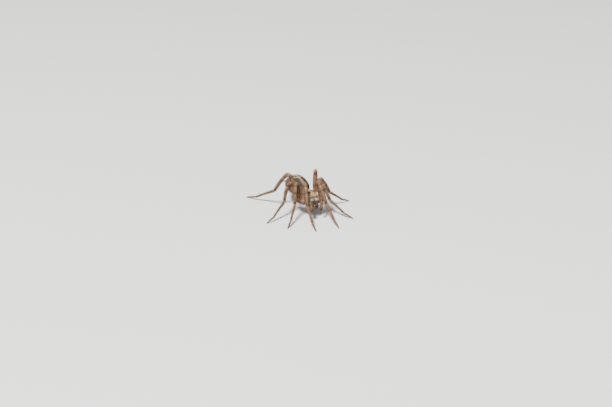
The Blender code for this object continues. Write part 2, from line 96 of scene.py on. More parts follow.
def band(low, high, soft, at):
    """1 between low and high, fading to 0 over the soft width at each side."""
    return rise(low - soft, low + soft, at) * (1 - rise(high - soft, high + soft, at))


def hump(width, at):
    """A smooth hump, 1 at zero."""
    return math.exp(-((at / width) ** 2))


def rounding_share(distance, reach, power):
    """How far a section has opened at a distance from the end that closes it."""
    if distance >= reach:
        return 1.0
    return (1 - (1 - distance / reach) ** power) ** (1 / power)


def spread_places(first, last, start_reach, end_reach, count, ends):
    """Places from first to last, closer together over the two rounded ends."""
    rows = [first + start_reach * (1 - math.cos(math.pi / 2 * k / ends)) for k in range(1, ends)]
    low, high = first + start_reach, last - end_reach
    rows += [low + (high - low) * k / count for k in range(count + 1)]
    rows += [last - end_reach * (1 - math.cos(math.pi / 2 * k / ends)) for k in range(ends - 1, 0, -1)]
    return rows


def circle(count):
    """Cosine and sine at even steps round a circle."""
    turns = (2 * math.pi * k / count for k in range(count))
    return [(math.cos(turn), math.sin(turn)) for turn in turns]


def body_section(y, count):
    """A section across the front body: a dome above the edge, tucked in to the plate below."""
    wide = smooth_value(BODY_Y, BODY_HALF_WIDTH, y)
    top = smooth_value(BODY_Y, BODY_TOP, y)
    edge = smooth_value(BODY_Y, BODY_EDGE, y)
    bottom = smooth_value(BODY_Y, BODY_BOTTOM, y)
    share = rounding_share(y - BODY_Y[0], FACE_ROUNDING, 2.3)
    share *= rounding_share(BODY_Y[-1] - y, REAR_ROUNDING, 2.3)
    middle = 0.5 * (top + bottom)
    ring = []
    for c, s in circle(count):
        x = wide * math.copysign(abs(c) ** 0.9, c)
        if s >= 0:
            z = edge + (top - edge) * s ** 0.92
        else:
            tuck = min(1.0, -s * 1.7)
            x *= 1 - BODY_TUCK * tuck * tuck * (3 - 2 * tuck)
            z = edge - (edge - bottom) * (-s) ** 0.9
        ring.append(Vector((x * share, y, middle + (z - middle) * share)))
    return ring


def mesh_from(name, bm):
    """The built shape as a mesh, with its working copy freed."""
    mesh = bpy.data.meshes.new(name)
    bm.to_mesh(mesh)
    bm.free()
    return mesh


def store(mesh, key, column):
    """Store a number or a direction at every point of a mesh."""
    if isinstance(column[0], Vector):
        layer = mesh.attributes.new(key, "FLOAT_VECTOR", "POINT")
        layer.data.foreach_set("vector", [number for vector in column for number in vector])
    else:
        layer = mesh.attributes.new(key, "FLOAT", "POINT")
        layer.data.foreach_set("value", column)


def placed(name, data):
    """A new object, linked to the scene."""
    made = bpy.data.objects.new(name, data)
    bpy.context.scene.collection.objects.link(made)
    return made


def loft(name, rings, relief=None, marks=None):
    """A closed skin over rings of points in millimetres, unwrapped round and along itself.

    relief(point, normal, row, turn) gives how far a point moves outwards, and marks, called the
    same way, gives the values that the finish and the coat read at that point.
    """
    bm = bmesh.new()
    unwrap = bm.loops.layers.uv.new("OFBake")
    rows = [[bm.verts.new(p) for p in ring] for ring in rings]
    around = max(len(row) for row in rows)
    steps = [0.0]
    for a, b in zip(rows, rows[1:]):
        steps.append(steps[-1] + 0.02 + (a[0].co - b[0].co).length)
    for i, (a, b) in enumerate(zip(rows, rows[1:])):
        low, high = 0.01 + 0.98 * steps[i] / steps[-1], 0.01 + 0.98 * steps[i + 1] / steps[-1]
        for k in range(around):
            n = (k + 1) % around
            if len(a) == 1:
                corners = ((a[0], k + 0.5, low), (b[k], k, high), (b[n], k + 1, high))
            elif len(b) == 1:
                corners = ((a[k], k, low), (b[0], k + 0.5, high), (a[n], k + 1, low))
            else:
                corners = ((a[k], k, low), (b[k], k, high), (b[n], k + 1, high), (a[n], k + 1, low))
            face = bm.faces.new([corner[0] for corner in corners])
            for loop, (_, u, v) in zip(face.loops, corners):
                loop[unwrap].uv = (0.01 + 0.98 * u / around, v)
    bmesh.ops.recalc_face_normals(bm, faces=bm.faces)
    bm.normal_update()
    spots = [(i, 2 * math.pi * k / len(row)) for i, row in enumerate(rows) for k in range(len(row))]
    verts = [vert for row in rows for vert in row]
    if relief:
        moves = [vert.normal * relief(vert.co, vert.normal, *spot) for vert, spot in zip(verts, spots)]
        for vert, move in zip(verts, moves):
            vert.co += move
        bm.normal_update()
    values = [marks(vert.co, vert.normal, *spot) for vert, spot in zip(verts, spots)] if marks else []
    for vert in verts:
        vert.co = (vert.co + WAIST) * MM
    mesh = mesh_from(name, bm)
    mesh.shade_smooth()
    for key in values[0] if values else ():
        store(mesh, key, [value[key] for value in values])
    return mesh


def node(tree, kind, inputs=(), **settings):
    """A new node with its settings, its inputs given as numbers or linked to other sockets."""
    made = tree.nodes.new(kind)
    for key, value in settings.items():
        setattr(made, key, value)
    for key, value in dict(inputs).items():
        if isinstance(value, bpy.types.NodeSocket):
            tree.links.new(value, made.inputs[key])
        else:
            made.inputs[key].default_value = value
    return made


def sums(tree, operation, *values):
    """The result of a Math node."""
    return node(tree, "ShaderNodeMath", dict(enumerate(values)), operation=operation).outputs[0]


def mixed(tree, amount, a, b):
    """A colour between two others."""
    return node(tree, "ShaderNodeMix", {0: amount, 6: a, 7: b}, data_type="RGBA").outputs[2]


def faded(tree, value, low, high):
    """A value made 0 at low and 1 at high, with a smooth step between them."""
    return node(
        tree, "ShaderNodeMapRange", {0: value, 1: low, 2: high}, interpolation_type="SMOOTHSTEP"
    ).outputs[0]


def marked_colour(tree, place, tones):
    """The ground tone, blotched, then each marking over it with an edge that the blotches break up."""
    blotch = node(tree, "ShaderNodeTexNoise", {"Vector": place, "Scale": 2600.0, "Detail": 4.0}).outputs[0]
    fine = node(tree, "ShaderNodeTexNoise", {"Vector": place, "Scale": 9000.0, "Detail": 2.0}).outputs[0]
    ground = (*tones["ground"], 1.0)
    deep = (*(0.62 * part for part in tones["ground"]), 1.0)
    colour = mixed(tree, blotch, deep, ground)
    for key in ("dark", "pale", "white"):
        if key not in tones:
            continue
        amount = node(tree, "ShaderNodeAttribute", attribute_name=key).outputs["Fac"]
        ragged = sums(tree, "MULTIPLY_ADD", sums(tree, "ADD", blotch, fine), 0.55, -0.55)
        ragged = sums(tree, "ADD", amount, ragged)
        colour = mixed(tree, faded(tree, ragged, 0.25, 0.75), colour, (*tones[key], 1.0))
    return colour, blotch, fine


def new_finish(name):
    """A new material, its node tree and its shader."""
    made = bpy.data.materials.new(name)
    made.use_nodes = True
    return made, made.node_tree, made.node_tree.nodes["Principled BSDF"]


def shell_finish(name, roughness=0.42, grain=0.35, grain_size=16000.0, **tones):
    """Chitin: marked colour, uneven gloss and a fine grain of pits and ridges."""
    made, tree, shader = new_finish(name)
    place = node(tree, "ShaderNodeTexCoord").outputs["Object"]
    colour, blotch, fine = marked_colour(tree, place, tones)
    pits = node(tree, "ShaderNodeTexVoronoi", {"Vector": place, "Scale": grain_size}).outputs["Distance"]
    deep = (*(0.5 * part for part in tones["ground"]), 1.0)
    colour = mixed(tree, sums(tree, "MULTIPLY", pits, 0.45), colour, deep)
    tree.links.new(colour, shader.inputs["Base Color"])
    rough = sums(tree, "MULTIPLY_ADD", fine, 0.35, roughness - 0.17)
    tree.links.new(rough, shader.inputs["Roughness"])
    height = sums(tree, "ADD", sums(tree, "MULTIPLY", blotch, 1.5), pits)
    bump = node(tree, "ShaderNodeBump", {"Height": height, "Strength": grain, "Distance": 0.00002})
    tree.links.new(bump.outputs[0], shader.inputs["Normal"])
    shader.inputs["Specular IOR Level"].default_value = 0.45
    return made


def hair_finish(name, roughness=0.55, **tones):
    """Hair: the skin's markings at its root, paler to the tip, each hair a little different."""
    made, tree, shader = new_finish(name)
    place = node(tree, "ShaderNodeAttribute", attribute_name="root").outputs["Vector"]
    colour, _, _ = marked_colour(tree, place, tones)
    along = node(tree, "ShaderNodeAttribute", attribute_name="along").outputs["Fac"]
    tint = node(tree, "ShaderNodeAttribute", attribute_name="tint").outputs["Fac"]
    light = sums(tree, "MULTIPLY_ADD", tint, 0.7, 0.6)
    light = sums(tree, "ADD", light, sums(tree, "MULTIPLY", along, 0.35))
    colour = node(tree, "ShaderNodeVectorMath", {0: colour, 3: light}, operation="SCALE").outputs[0]
    tree.links.new(colour, shader.inputs["Base Color"])
    rough = sums(tree, "MULTIPLY_ADD", tint, 0.2, roughness - 0.1)
    tree.links.new(rough, shader.inputs["Roughness"])
    shader.inputs["Specular IOR Level"].default_value = 0.28
    shader.inputs["Sheen Weight"].default_value = 0.06
    return made


def piece(name, mesh, finish, slot, *nodes):
    """Show a finished mesh as a piece of the spider, in place of the plain solids that it stands for."""
    made = placed(name, mesh)
    mesh.materials.clear()
    mesh.materials.append(finish)
    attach(made, "root")
    if nodes:
        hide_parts(*nodes)
    return made


def flat_to(flow, normal):
    """A direction laid flat on the skin."""
    flat = flow - normal * flow.dot(normal)
    return flat.normalized() if flat.length > 1e-6 else Vector((0, 1, 0))


def shell_relief(p, normal, row, turn):
    """Grooves and furrows of the carapace, its rim, the eye mounds and the plate below."""
    x, y = p.x, p.y
    lift = -SHELL_DEPTH
    level = math.asin(math.sin(turn))
    if normal.z > 0.0:
        lift -= 0.15 * hump(0.075, x) * math.exp(-(((y - GROOVE_Y) / 0.40) ** 4))
        out = math.hypot(x, y - GROOVE_Y)
        way = math.degrees(math.atan2(abs(x), GROOVE_Y - y))
        for angle, depth, reach in FURROWS:
            off = math.radians(way - angle) * out
            lift -= depth * hump(0.13, off) * rise(0.25, 0.6, out) * (1 - rise(reach - 0.5, reach, out))
        lift += 0.012 * noise.noise(p * 5.0)
    lift -= 0.09 * hump(0.13, level + 0.24) * rise(-5.4, -4.6, y) * (1 - rise(-0.9, -0.5, y))
    lift += 0.04 * hump(0.09, level - 0.03) * rise(-5.3, -4.6, y)
    for centre, radius in eye_places:
        away = (p - centre).length
        lift += 0.055 * hump(0.06, away - radius - 0.05)
    if normal.z < -0.2:
        plate = smooth_value((-4.35, -4.0, -3.2, -2.2, -1.1), (0.42, 0.66, 0.80, 0.66, 0.12), y)
        on_plate = 1 - rise(-1.2, -1.0, y)
        lift -= 0.07 * hump(0.06, abs(x) - plate) * on_plate * rise(-4.6, -4.3, y)
        lift -= 0.06 * hump(0.05, y + 4.35) * (1 - rise(0.35, 0.5, abs(x)))
    return lift


def shell_marks(p, normal, row, turn):
    """Markings of the front body, and how its hairs grow."""
    x, y, z = p
    across = abs(x) / smooth_value(BODY_Y, BODY_HALF_WIDTH, y)
    top = rise(0.0, 0.35, normal.z)
    face = rise(0.35, 0.8, -normal.y) * rise(-4.6, -5.1, y)
    head = rise(-3.4, -4.5, y)
    bands = top * band(0.24, 0.64, 0.07, across) * (1 - 0.6 * head)
    bands = max(bands, 0.7 * top * hump(0.1, x) * hump(0.5, y - GROOVE_Y))
    bands = max(bands, 0.8 * band(0.95, 1.1, 0.04, across) * (1 - face))
    pale = top * (1 - rise(0.10, 0.24, across)) * 0.8
    pale = max(pale, top * band(0.70, 0.90, 0.06, across) * 0.9)
    pale = max(pale, rise(-4.2, -4.9, y) * top * 0.9)
    white = face * rise(4.25, 4.02, z)
    side = math.copysign(1.0, x)
    over = Vector((-0.55 * side * across, -1.0, 0.0))
    down = Vector((0.25 * side, 0.0, -1.0))
    under = Vector((0.0, 1.0, 0.0))
    flow = over.lerp(down, face) if normal.z > -0.2 or face > 0.1 else under
    length = 0.23 - 0.05 * face + 0.10 * white
    cover = max(1.0 if normal.z > -0.2 else 0.45, 1.3 * face)
    cover *= 1 - 0.7 * hump(0.1, x) * hump(0.35, y - GROOVE_Y) * top
    for centre, radius in eye_places:
        away = (p - centre).length - radius
        if away < 0.05:
            cover = 0.0
        length = min(length, 0.09 + 0.7 * max(away, 0.0))
    return {
        "dark": bands, "pale": pale, "white": white,
        "flow": flat_to(flow, normal), "length": length * MM, "cover": cover,
    }


def eye_place(name):
    """The middle and radius of an eye's bead, in millimetres from the waist."""
    low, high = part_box(name)
    return (low + high) / 2 / MM - WAIST, (high.x - low.x) / 2 / MM


EYES = [
    f"eye_{place}_{side}"
    for place in ("front_middle", "front_side", "rear_middle", "rear_side")
    for side in ("left", "right")
]
eye_places = [eye_place(name) for name in EYES]
face = Vector((0, BODY_Y[0], 0.5 * (BODY_TOP[0] + BODY_BOTTOM[0])))
rear = Vector((0, BODY_Y[-1], 0.5 * (BODY_TOP[-1] + BODY_BOTTOM[-1])))
places = spread_places(BODY_Y[0], BODY_Y[-1], FACE_ROUNDING, REAR_ROUNDING, 76, 20)
shell = loft(
    "shell", [[face]] + [body_section(y, 120) for y in places] + [[rear]], shell_relief, shell_marks
)
shell_brown = shell_finish(
    "shell_brown", ground=(0.22, 0.125, 0.062), dark=(0.042, 0.021, 0.012),
    pale=(0.36, 0.235, 0.125), white=(0.40, 0.33, 0.24),
)
piece("shell_skin", shell, shell_brown, "carapace", "cephalothorax")


# Coat of the front body. The real hairs are short, feathery and pressed to the shell, straw
# coloured on the head, pale down the middle and along the sides, dark over the two bands, and
# whitish below the eyes. Each grows from its own socket and lies forwards over the next.

PATCH_SIZE = 0.003


def hair_tree(name, scattered, sides, lengths):
    """Geometry Nodes tree: bent, tapered hairs on a skin, or one at each given point."""
    tree = bpy.data.node_groups.new(name, "GeometryNodeTree")
    tree.is_modifier = True
    sockets = tree.interface
    sockets.new_socket("Geometry", in_out="INPUT", socket_type="NodeSocketGeometry")
    for key, value in (
        ("Density", 1e6), ("Length", 1.0), ("Thickness", 0.04),
        ("Bend", 0.3), ("Rise", 0.4), ("Scatter", 0.3),
    ):
        sockets.new_socket(key, in_out="INPUT", socket_type="NodeSocketFloat").default_value = value
    sockets.new_socket("Seed", in_out="INPUT", socket_type="NodeSocketInt").default_value = 1
    sockets.new_socket("Material", in_out="INPUT", socket_type="NodeSocketMaterial")
    sockets.new_socket("Geometry", in_out="OUTPUT", socket_type="NodeSocketGeometry")
    given = tree.nodes.new("NodeGroupInput").outputs
    result = tree.nodes.new("NodeGroupOutput")

    def read(key, kind="FLOAT_VECTOR"):
        return node(tree, "GeometryNodeInputNamedAttribute", {0: key}, data_type=kind).outputs[0]

    def chance(low, high, shift, kind="FLOAT"):
        first = {"FLOAT_VECTOR": 0, "FLOAT": 2}[kind]
        seed = sums(tree, "ADD", given["Seed"], float(shift))
        limits = {first: low, first + 1: high, 8: seed}
        made = node(tree, "FunctionNodeRandomValue", limits, data_type=kind)
        return made.outputs[0 if kind == "FLOAT_VECTOR" else 1]

    def vectors(operation, *values):
        return node(tree, "ShaderNodeVectorMath", dict(enumerate(values)), operation=operation).outputs[0]

    def times(vector, number):
        return node(tree, "ShaderNodeVectorMath", {0: vector, 3: number}, operation="SCALE").outputs[0]

    def keep(geometry, key, kind, domain, value):
        return node(
            tree, "GeometryNodeStoreNamedAttribute", {0: geometry, 2: key, 3: value},
            data_type=kind, domain=domain,
        ).outputs[0]

    # One hair, a unit long, bent towards +X
    cone = node(
        tree, "GeometryNodeMeshCone",
        {"Vertices": sides, "Side Segments": lengths, "Radius Top": 0.0,
         "Radius Bottom": given["Thickness"], "Depth": 1.0},
        fill_type="NGON",
    )
    place = node(tree, "GeometryNodeInputPosition").outputs[0]
    height = node(tree, "ShaderNodeSeparateXYZ", {0: place}).outputs[2]
    sway = sums(tree, "MULTIPLY", sums(tree, "POWER", height, 2.0), given["Bend"])
    shift = node(tree, "ShaderNodeCombineXYZ", {0: sway, 2: -0.03}).outputs[0]
    hair = keep(cone.outputs["Mesh"], "patch", "FLOAT_VECTOR", "CORNER", cone.outputs["UV Map"])
    hair = keep(hair, "along", "FLOAT", "POINT", height)
    hair = node(tree, "GeometryNodeSetPosition", {"Geometry": hair, "Offset": shift}).outputs[0]

    # Roots, spread by the skin's cover or set at the given points
    if scattered:
        density = sums(tree, "MULTIPLY", given["Density"], read("cover", "FLOAT"))
        spread = node(
            tree, "GeometryNodeDistributePointsOnFaces",
            {"Mesh": given["Geometry"], "Density": density, "Seed": given["Seed"]},
        )
        points, normal = spread.outputs["Points"], spread.outputs["Normal"]
    else:
        points = node(tree, "GeometryNodeMeshToPoints", {"Mesh": given["Geometry"]}).outputs[0]
        normal = read("up")
    points = keep(points, "root_patch", "FLOAT_VECTOR", "POINT", read("OFBake"))
    points = node(tree, "GeometryNodeRemoveAttribute", {0: points, 1: "OFBake"}).outputs[0]
    points = keep(points, "root", "FLOAT_VECTOR", "POINT", place)
    points = keep(points, "tint", "FLOAT", "POINT", chance(0.0, 1.0, 11))

    # Each hair's direction, length and turn
    lift = sums(tree, "MULTIPLY", given["Rise"], chance(0.4, 1.6, 13))
    stray = times(chance((-1.0, -1.0, -1.0), (1.0, 1.0, 1.0), 14, "FLOAT_VECTOR"), given["Scatter"])
    aim = vectors("ADD", vectors("ADD", read("flow"), times(normal, lift)), stray)
    turn = node(
        tree, "FunctionNodeAxesToRotation", {0: aim, 1: times(normal, -1.0)},
        primary_axis="Z", secondary_axis="X",
    ).outputs[0]
    size = sums(tree, "MULTIPLY", read("length", "FLOAT"), chance(0.65, 1.2, 15))
    size = sums(tree, "MULTIPLY", size, given["Length"])
    hairs = node(
        tree, "GeometryNodeInstanceOnPoints",
        {"Points": points, "Instance": hair, "Rotation": turn, "Scale": size},
    ).outputs[0]

    # Plain mesh, each hair a small patch of the unwrap at its root
    hairs = node(tree, "GeometryNodeRealizeInstances", {0: hairs}).outputs[0]
    corner = times(vectors("SUBTRACT", read("patch"), (0.5, 0.5, 0.0)), PATCH_SIZE)
    hairs = keep(hairs, "OFBake", "FLOAT2", "CORNER", vectors("ADD", read("root_patch"), corner))
    for key in ("root_patch", "patch", "flow", "up", "length", "cover"):
        hairs = node(tree, "GeometryNodeRemoveAttribute", {0: hairs, 1: key}).outputs[0]
    hairs = node(tree, "GeometryNodeSetShadeSmooth", {0: hairs, 2: True}).outputs[0]
    hairs = node(tree, "GeometryNodeSetMaterial", {0: hairs, 2: given["Material"]}).outputs[0]
    tree.links.new(hairs, result.inputs[0])
    return tree


def grown(name, mesh, tree, finish, **sizes):
    """The plain mesh of the hairs that a tree grows on a skin or at points."""
    base = placed(name, mesh)
    grow = base.modifiers.new("grow", "NODES")
    grow.node_group = tree
    sockets = {s.name: s.identifier for s in tree.interface.items_tree if s.in_out == "INPUT"}
    for key, value in sizes.items():
        grow[sockets[key.replace("_", " ").capitalize()]] = value
    grow[sockets["Material"]] = finish
    bpy.context.view_layer.update()
    made = bpy.data.meshes.new_from_object(base.evaluated_get(bpy.context.evaluated_depsgraph_get()))
    bpy.data.objects.remove(base, do_unlink=True)
    made.name = name + "_mesh"
    return made


def density(mesh, count):
    """Hairs for each square metre, so that a skin of uneven cover gets about the given count."""
    cover = mesh.attributes["cover"].data
    total = 0.0
    for polygon in mesh.polygons:
        total += polygon.area * sum(cover[v].value for v in polygon.vertices) / len(polygon.vertices)
    return count / total


short_hairs = hair_tree("short_hairs", True, 3, 1)
long_hairs = hair_tree("long_hairs", True, 3, 4)


def coated(name, mesh, finish, slot, short, long, seed, rise, length, stand):
    """Grow the short lying coat of a skin and its longer standing hairs, each as its own piece."""
    felt = grown(
        name + "_coat", mesh, short_hairs, finish, density=density(mesh, short), thickness=0.036,
        bend=0.10, rise=rise, scatter=0.20, seed=seed,
    )
    piece(name + "_coat", felt, finish, slot)
    nap = grown(
        name + "_hairs", mesh, long_hairs, finish, density=density(mesh, long), length=length,
        thickness=0.021, bend=0.30, rise=stand, scatter=0.25, seed=seed + 1,
    )
    piece(name + "_hairs", nap, finish, slot)


shell_hair = hair_finish(
    "shell_hair", ground=(0.30, 0.20, 0.12), dark=(0.070, 0.042, 0.025),
    pale=(0.66, 0.41, 0.14), white=(0.58, 0.52, 0.45),
)
coated(
    "shell", shell, shell_hair, "carapace", short=40000, long=1300, seed=3, rise=0.2, length=1.7, stand=0.7
)


# Eyes. Eight clear domes of lens cuticle, each set in the shell with a dark ring round it. The
# front middle pair is almost black, and the others have a paler shine deep inside.

EYE_RIM = (0.012, 0.007, 0.005)
EYE_BULGE = 0.05
EYE_ORDER = Vector((1.0, 0.37, 0.113))


def eye_bead(name, centre, radius):
    """One lens, a full bead sunk in the shell, that bulges most where it looks."""
    bm = bmesh.new()
    bmesh.ops.create_uvsphere(bm, u_segments=32, v_segments=20, radius=radius)
    # The sphere's parts come in no fixed order, so they are put in order along a slant
    bm.verts.sort(key=lambda vert: vert.co.dot(EYE_ORDER))
    bm.faces.sort(key=lambda face: face.calc_center_median().dot(EYE_ORDER))
    look = Vector((centre.x * 0.55, -1.0, 0.25 + 0.9 * max(centre.z - 4.5, 0.0))).normalized()
    for vert in bm.verts:
        share = max(vert.co.normalized().dot(look), 0.0)
        vert.co *= 1.0 + EYE_BULGE * share**3
        vert.co = (vert.co + centre + WAIST) * MM
    mesh = mesh_from(name, bm)
    middle = (centre + WAIST) * MM
    facing = [(vert.co - middle).normalized().dot(look) for vert in mesh.vertices]
    store(mesh, "ahead", [max(share, 0.0) for share in facing])
    mesh.shade_smooth()
    return mesh


def eye_finish(name, deep, shine):
    """Lens over a dark cup: near black in the middle, the cup's colour round it, a dark rim."""
    made, tree, shader = new_finish(name)
    place = node(tree, "ShaderNodeTexCoord").outputs["Object"]
    cloud = node(tree, "ShaderNodeTexNoise", {"Vector": place, "Scale": 14000.0, "Detail": 3.0}).outputs[0]
    ahead = node(tree, "ShaderNodeAttribute", attribute_name="ahead").outputs["Fac"]
    cup = mixed(tree, cloud, (*(0.5 * v for v in shine), 1.0), (*shine, 1.0))
    colour = mixed(tree, faded(tree, ahead, 0.96, 0.72), (*deep, 1.0), cup)
    colour = mixed(tree, faded(tree, ahead, 0.62, 0.4), colour, (*EYE_RIM, 1.0))
    tree.links.new(colour, shader.inputs["Base Color"])
    rough = sums(tree, "MULTIPLY_ADD", cloud, 0.05, 0.03)
    tree.links.new(rough, shader.inputs["Roughness"])
    bump = node(tree, "ShaderNodeBump", {"Height": cloud, "Strength": 0.04, "Distance": 0.00001})
    tree.links.new(bump.outputs[0], shader.inputs["Normal"])
    shader.inputs["Coat Weight"].default_value = 1.0
    shader.inputs["Coat Roughness"].default_value = 0.03
    return made


dark_lens = eye_finish("dark_lens", (0.006, 0.005, 0.006), (0.03, 0.018, 0.012))
pale_lens = eye_finish("pale_lens", (0.010, 0.010, 0.009), (0.085, 0.075, 0.05))
for name, (centre, radius) in zip(EYES, eye_places):
    lens = dark_lens if "front_middle" in name else pale_lens
    piece("bead_" + name[4:], eye_bead(name, centre, radius), lens, "eye", name)


# Jaws. Two stout upright blocks of thick red-brown chitin, hinged under the face, fullest a third
# of the way down, with a smooth boss at the outer top, pale hairs in front and long bristles at
# the lower inner edge. The shell is glossy and finely wrinkled across.

JAW_ROOT = (0.57, -5.02, 4.10)
JAW_TIP = (0.50, -5.86, 2.20)
SIDES = {"right": -1.0, "left": 1.0}
ROUNDING_STEP = 0.06


def mirrored(place, mirror):
    """A place given for the left side, or its mirror image where mirror is -1."""
    x, y, z = place
    return Vector((x * mirror, y, z))


def rounded_path(corners, roundings):
    """Points through the corners, each rounded, and where each rounding starts and ends."""
    points = [corners[0]]
    spans = []
    for before, corner, after, rounding in zip(corners, corners[1:], corners[2:], roundings):
        back = (before - corner).normalized()
        ahead = (after - corner).normalized()
        turn = math.pi - back.angle(ahead)
        reach = rounding * math.tan(turn / 2)
        reach = min(reach, 0.6 * (before - corner).length, 0.6 * (after - corner).length)
        radius = reach / math.tan(turn / 2)
        centre = corner + (back + ahead).normalized() * radius / math.cos(turn / 2)
        a = corner + back * reach - centre
        b = corner + ahead * reach - centre
        count = max(3, math.ceil(turn / ROUNDING_STEP))
        spans.append((len(points), len(points) + count))
        for k in range(count + 1):
            t = k / count
            arm = (math.sin((1 - t) * turn) * a + math.sin(t * turn) * b) / math.sin(turn)
            points.append(centre + arm)
    points.append(corners[-1])
    return points, spans


class Path:
    """A centreline through rounded corners, readable at any length, with a frame carried along it."""

    def __init__(self, corners, roundings, across=Vector((1, 0, 0))):
        points, spans = rounded_path(corners, roundings)
        self.points = points
        self.lengths = [0.0]
        for a, b in zip(points, points[1:]):
            self.lengths.append(self.lengths[-1] + (b - a).length)
        self.bends = [(self.lengths[a] + self.lengths[b]) / 2 for a, b in spans]
        runs = [(b - a).normalized() for a, b in zip(points, points[1:])]
        self.tangents = [runs[0]] + [(a + b).normalized() for a, b in zip(runs, runs[1:])] + [runs[-1]]
        self.across = [across]
        for tangent in reversed(self.tangents):
            last = self.across[-1]
            self.across.append((last - tangent * last.dot(tangent)).normalized())
        self.across = self.across[:0:-1]
        self.total = self.lengths[-1]

    def read(self, length):
        """Point, tangent and sideways direction at a length."""
        length = min(max(length, 0.0), self.total)
        i = max(k for k in range(len(self.lengths) - 1) if self.lengths[k] <= length)
        t = (length - self.lengths[i]) / max(self.lengths[i + 1] - self.lengths[i], 1e-9)
        tangent = self.tangents[i].lerp(self.tangents[i + 1], t).normalized()
        across = self.across[i].lerp(self.across[i + 1], t)
        across = (across - tangent * across.dot(tangent)).normalized()
        return self.points[i].lerp(self.points[i + 1], t), tangent, across


def limb_rings(path, radius_at, count, sides, tip=0.0, flat=1.0):
    """Rings along a limb with a rounded tip and a closed start, and the length of each ring."""
    lengths = [(path.total - tip) * k / count for k in range(count + 1)]
    radii = [radius_at(s) for s in lengths]
    for k in range(1, 7):
        turn = math.pi / 2 * k / 7
        lengths.append(path.total - tip + tip * math.sin(turn))
        radii.append(radii[count] * math.cos(turn))
    rings = [[path.read(0.0)[0]]]
    for length, radius in zip(lengths, radii):
        centre, tangent, across = path.read(length)
        upright = tangent.cross(across)
        rings.append([
            centre + across * radius * c + upright * radius * flat * s for c, s in circle(sides)
        ])
    rings.append([path.read(path.total)[0]])
    return rings, [0.0, *lengths, path.total]


def jaw_radius(share):
    """Thickness down a jaw, fullest a third of the way down."""
    return smooth_value((0.0, 0.35, 0.8, 1.0), (0.41, 0.43, 0.36, 0.29), share)


jaw_brown = shell_finish(
    "jaw_brown", roughness=0.30, grain=0.3, grain_size=9000.0, ground=(0.080, 0.026, 0.013),
    dark=(0.022, 0.008, 0.006), pale=(0.17, 0.070, 0.036),
)
jaw_hair = hair_finish(
    "jaw_hair", ground=(0.15, 0.080, 0.045), dark=(0.045, 0.022, 0.015), pale=(0.36, 0.24, 0.15),
    white=(0.54, 0.49, 0.42),
)
jaw_tips = {}
for side, mirror in SIDES.items():
    top, tip = mirrored(JAW_ROOT, mirror), mirrored(JAW_TIP, mirror)
    path = Path([top, top.lerp(tip, 0.5) + Vector((0, -0.12, 0)), tip], [3.0])
    rings, lengths = limb_rings(path, lambda s: jaw_radius(s / path.total), 40, 40, 0.16, 1.12)
    jaw_tips[side] = tip

    def jaw_relief(p, normal, row, turn):
        share = lengths[row] / path.total
        outer = normal.x * mirror
        lift = -0.02 + 0.05 * hump(0.10, share - 0.30) * rise(0.3, 0.9, outer)
        lift += 0.006 * math.sin(share * 150.0 + 2.0 * noise.noise(p * 4.0)) * rise(0.3, 0.6, share)
        lift -= 0.05 * hump(0.07, share - 0.97) * rise(0.2, 0.8, -outer)
        return lift + 0.012 * noise.noise(p * 3.0)

    def jaw_marks(p, normal, row, turn):
        share = lengths[row] / path.total
        outer = normal.x * mirror
        ahead = rise(-0.1, 0.5, -normal.y)
        fringe = rise(0.75, 0.95, share) * rise(0.0, 0.5, -outer)
        front = 0.85 * ahead * (1 - 0.75 * rise(0.28, 0.5, share))
        return {
            "dark": rise(0.62, 0.95, share),
            "pale": 0.5 * rise(0.4, 0.9, outer) * (1 - rise(0.3, 0.5, share)),
            "white": ahead * (1 - rise(0.25, 0.42, share)),
            "flow": flat_to(Vector((-0.25 * mirror * fringe, -0.1, -1.0)), normal),
            "length": (0.24 + 0.14 * fringe) * MM,
            "cover": (0.15 + front + 0.8 * fringe) * rise(0.1, 0.2, share),
        }

    jaw = loft(f"jaw_{side}", rings, jaw_relief, jaw_marks)
    piece(f"jaw_{side}_skin", jaw, jaw_brown, "jaw", f"jaw_{side}")
    coated(
        f"jaw_{side}", jaw, jaw_hair, "jaw", short=1500, long=220, seed=21, rise=0.28, length=1.5, stand=0.5
    )


# Fangs. Each is one smooth, polished hook of the hardest chitin, folded in under its jaw, almost
# black at the root and clear red towards the point.

fang_red = shell_finish(
    "fang_red", roughness=0.2, grain=0.1, grain_size=30000.0, ground=(0.055, 0.012, 0.006),
    dark=(0.010, 0.005, 0.004), pale=(0.17, 0.035, 0.012),
)
for side, mirror in SIDES.items():
    tip = jaw_tips[side]
    heel = tip + Vector((0.03 * mirror, 0.02, -0.46))
    point = Vector((0.17 * mirror, tip.y + 0.72, heel.z + 0.10))
    bent = Path([tip, heel, point], [0.34])
    rings, lengths = limb_rings(bent, lambda s: 0.205 - 0.17 * (s / bent.total) ** 1.1, 44, 20, 0.04)

    def fang_marks(p, normal, row, turn):
        share = lengths[row] / bent.total
        return {"dark": 1 - rise(0.1, 0.4, share), "pale": rise(0.55, 1.0, share)}

    hook = loft(f"fang_{side}", rings, None, fang_marks)
    piece(f"fang_{side}_hook", hook, fang_red, "fang", f"fang_{side}")


# Legs. Each real leg is a jointed tube of tan chitin, from the stout hip at the plate to the thin
# foot: hip, thigh, knee, shin and two foot lengths, joined by soft pale skin, with dark smudges
# where the lengths end. Fine tan hairs lie along it, with longer ones that stand up.

